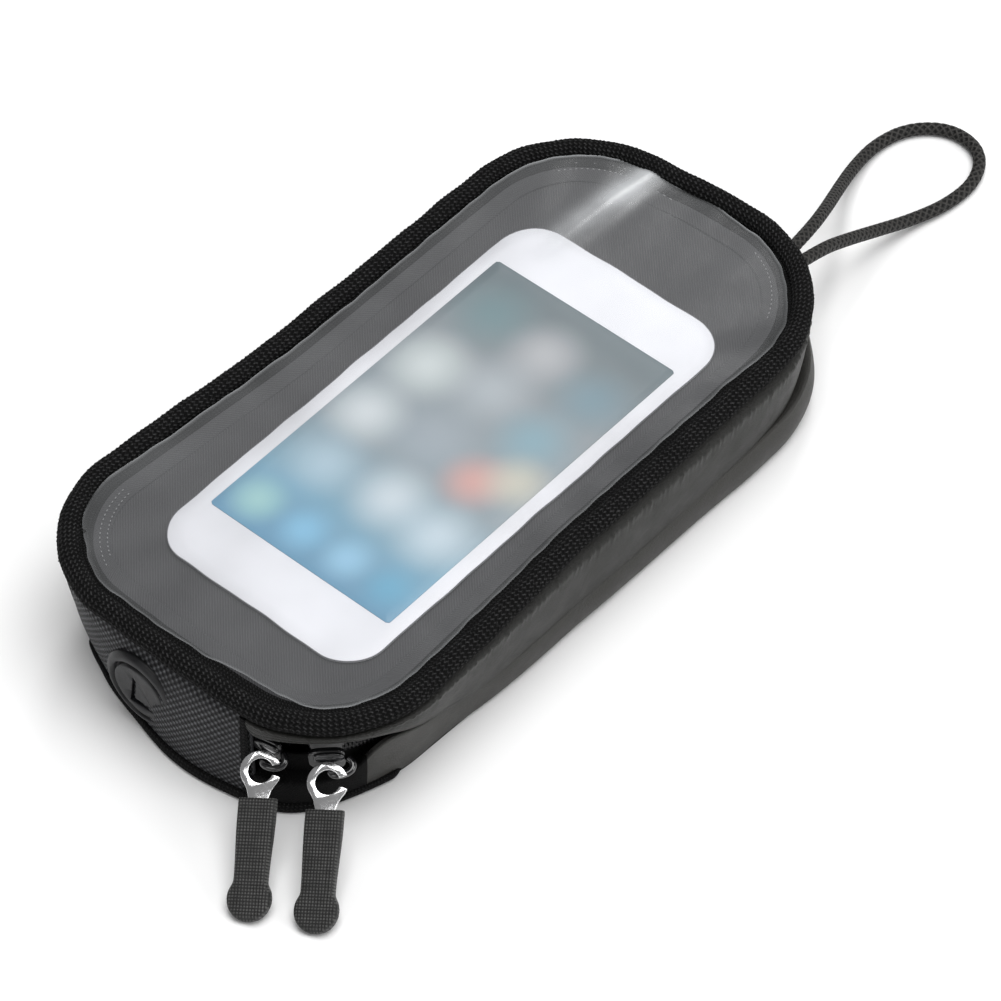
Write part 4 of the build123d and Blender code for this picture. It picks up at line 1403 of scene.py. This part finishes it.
# ---------------------------------------------------------------- inside of the tub
def make_inside(looks):
    """Soft lined floor that turns up at its edge."""
    rings = np.linspace(0, 1.0, 30)
    s = all_round(420)
    level = 4.5

    def floor_height(flat):
        x, y = flat[..., 0], flat[..., 1]
        quilt = 0.35 * np.abs(np.sin(math.pi * (x + y) / 36)) * np.abs(np.sin(math.pi * (x - y) / 36))
        return level + quilt

    mesh = rosette("padded_floor", s, np.full(len(s), 2.8), rings, floor_height, 0.5, level)
    floor = finish_object("padded_floor", mesh, looks["lining"], "tub", ["floor_lining"])

    s = np.linspace(S_RIGHT + 1.5, S_LEFT - 2, 520)
    foot = 4.4
    z_up = np.linspace(foot, 12.4, 10)[None, :] + 0 * s[:, None]
    wave = smooth_bumps(s, (13, 19, 29), 0.16)[:, None] * np.sin(np.pi * (z_up - foot) / 9)
    outer = 7.05 + wave
    inset = np.hstack([outer, outer + 0.5])
    z = np.hstack([z_up, z_up[:, ::-1]])
    rail_piece("inner_wall_lining", s, inset, z, looks["lining"], "tub", ["side_lining"])


def block_uv(mesh, co):
    """UV of a plain piece: X, and Y plus Z, in mm."""
    set_uv(mesh, np.stack([co[:, 0], co[:, 1] + co[:, 2]], -1))


def follow_rail(node, look, body):
    """Copy a CAD piece and let its edge follow the soft bag's real outline."""
    mesh = NODES[node].data.copy()
    mesh.name = f"{node}_fitted"
    co = mesh_points(mesh)
    gap = co[:, None, :2] - rail.line[None, ::4]
    near = np.argmin(np.hypot(gap[..., 0], gap[..., 1]), axis=1) * 4
    normal = rail.normal[near]
    inset = -np.sum((co[:, :2] - rail.line[near]) * normal, axis=1)
    shift = rail.shift(near / rail.COUNT * rail.length, co[:, 2:3])[:, 0]
    co[:, :2] += normal * (shift * (1 - smoothstep(inset, 3, 20)))[:, None]
    mesh.vertices.foreach_set("co", (co * MM).reshape(-1))
    mesh.materials.clear()
    block_uv(mesh, co)
    finish_object(f"{node}_fitted", mesh, look, body, [node], smooth=False)


def make_core(looks):
    """Layers of the base and of the port end, and the small sewn or set parts inside."""
    for node, look, slot in (("base_skin", "base", "ballistic_nylon"), ("base_foam", "foam", "foam"),
                             ("base_board", "foam", "board"), ("end_panel_foam", "foam", "foam"),
                             ("end_panel_lining", "lining", "lining")):
        follow_rail(node, looks[look], "tub")
    kept = {"base_magnets": "magnet", "port_washer": "rubber", "loop_anchor": "tape",
            "pocket_hook_strip": "hooks", "pocket_loop_strip": "hooks"}
    for node, look in kept.items():
        mesh = NODES[node].data
        block_uv(mesh, mesh_points(mesh))
        mesh.materials.clear()
        mesh.materials.append(looks[look])


# ---------------------------------------------------------------- floor and light
def add_stage():
    """Plain pale floor, in metres."""
    mesh = bpy.data.meshes.new("floor")
    half = 4.0
    corners = [(-half, -half, 0), (half, -half, 0), (half, half, 0), (-half, half, 0)]
    mesh.from_pydata(corners, [], [(0, 1, 2, 3)])
    floor_look = Shade("pale_floor", (0.93, 0.93, 0.93), 0.9)
    grain = floor_look.noise(floor_look.place(), 3.0)
    floor_look.set(Base_Color=floor_look.mix(grain, (0.92, 0.92, 0.92), (0.94, 0.94, 0.94)))
    mesh.materials.append(floor_look.mat)
    add_object("floor", mesh)


def add_light(name, place, target, size, power):
    """Soft rectangular light at a place in metres, aimed at a target."""
    light = bpy.data.lights.new(name, "AREA")
    light.shape = "RECTANGLE"
    light.size, light.size_y = size
    light.energy = power
    holder = add_object(name, light)
    aim = Vector(target) - Vector(place)
    holder.matrix_world = Matrix.Translation(place) @ aim.to_track_quat("-Z", "Y").to_matrix().to_4x4()


def add_lights():
    world = bpy.data.worlds.new("studio")
    bpy.context.scene.world = world
    world.use_nodes = True
    back = world.node_tree.nodes["Background"]
    back.inputs[0].default_value = (1, 1, 1, 1)
    back.inputs[1].default_value = 0.22
    centre = (0, 0, 0.02)
    add_light("overhead", (0.35, 0.25, 2.4), centre, (2.0, 2.0), 58.0)
    add_light("side_right", (1.6, 0.5, 0.8), centre, (0.8, 0.7), 9.0)
    add_light("near_low", (0.1, -1.6, 0.8), centre, (0.8, 0.5), 4.0)
    add_light("far_strip", (-0.95, 1.55, 1.9), centre, (0.5, 0.5), 9.0)


# ---------------------------------------------------------------- build
def build():
    """Make every piece; the order sets which random draws each one gets."""
    add_camera()
    looks = make_materials()
    for make in (make_cord, make_piping, make_upper_wall, make_tray_wall):
        make(looks)
    panel = make_end_panel(looks)
    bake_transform(panel)
    for make in (make_binding, make_seam_bindings, make_film, make_lining, make_card, make_stitches,
                 make_zipper, make_port):
        make(looks)
    for number, side in ((1, "left"), (2, "right")):
        make_slider(number, side, looks)
        make_pull(number, side, looks)
    make_inside(looks)
    make_core(looks)
    add_stage()
    add_lights()
    bpy.context.scene.view_settings.view_transform = "Standard"


build()
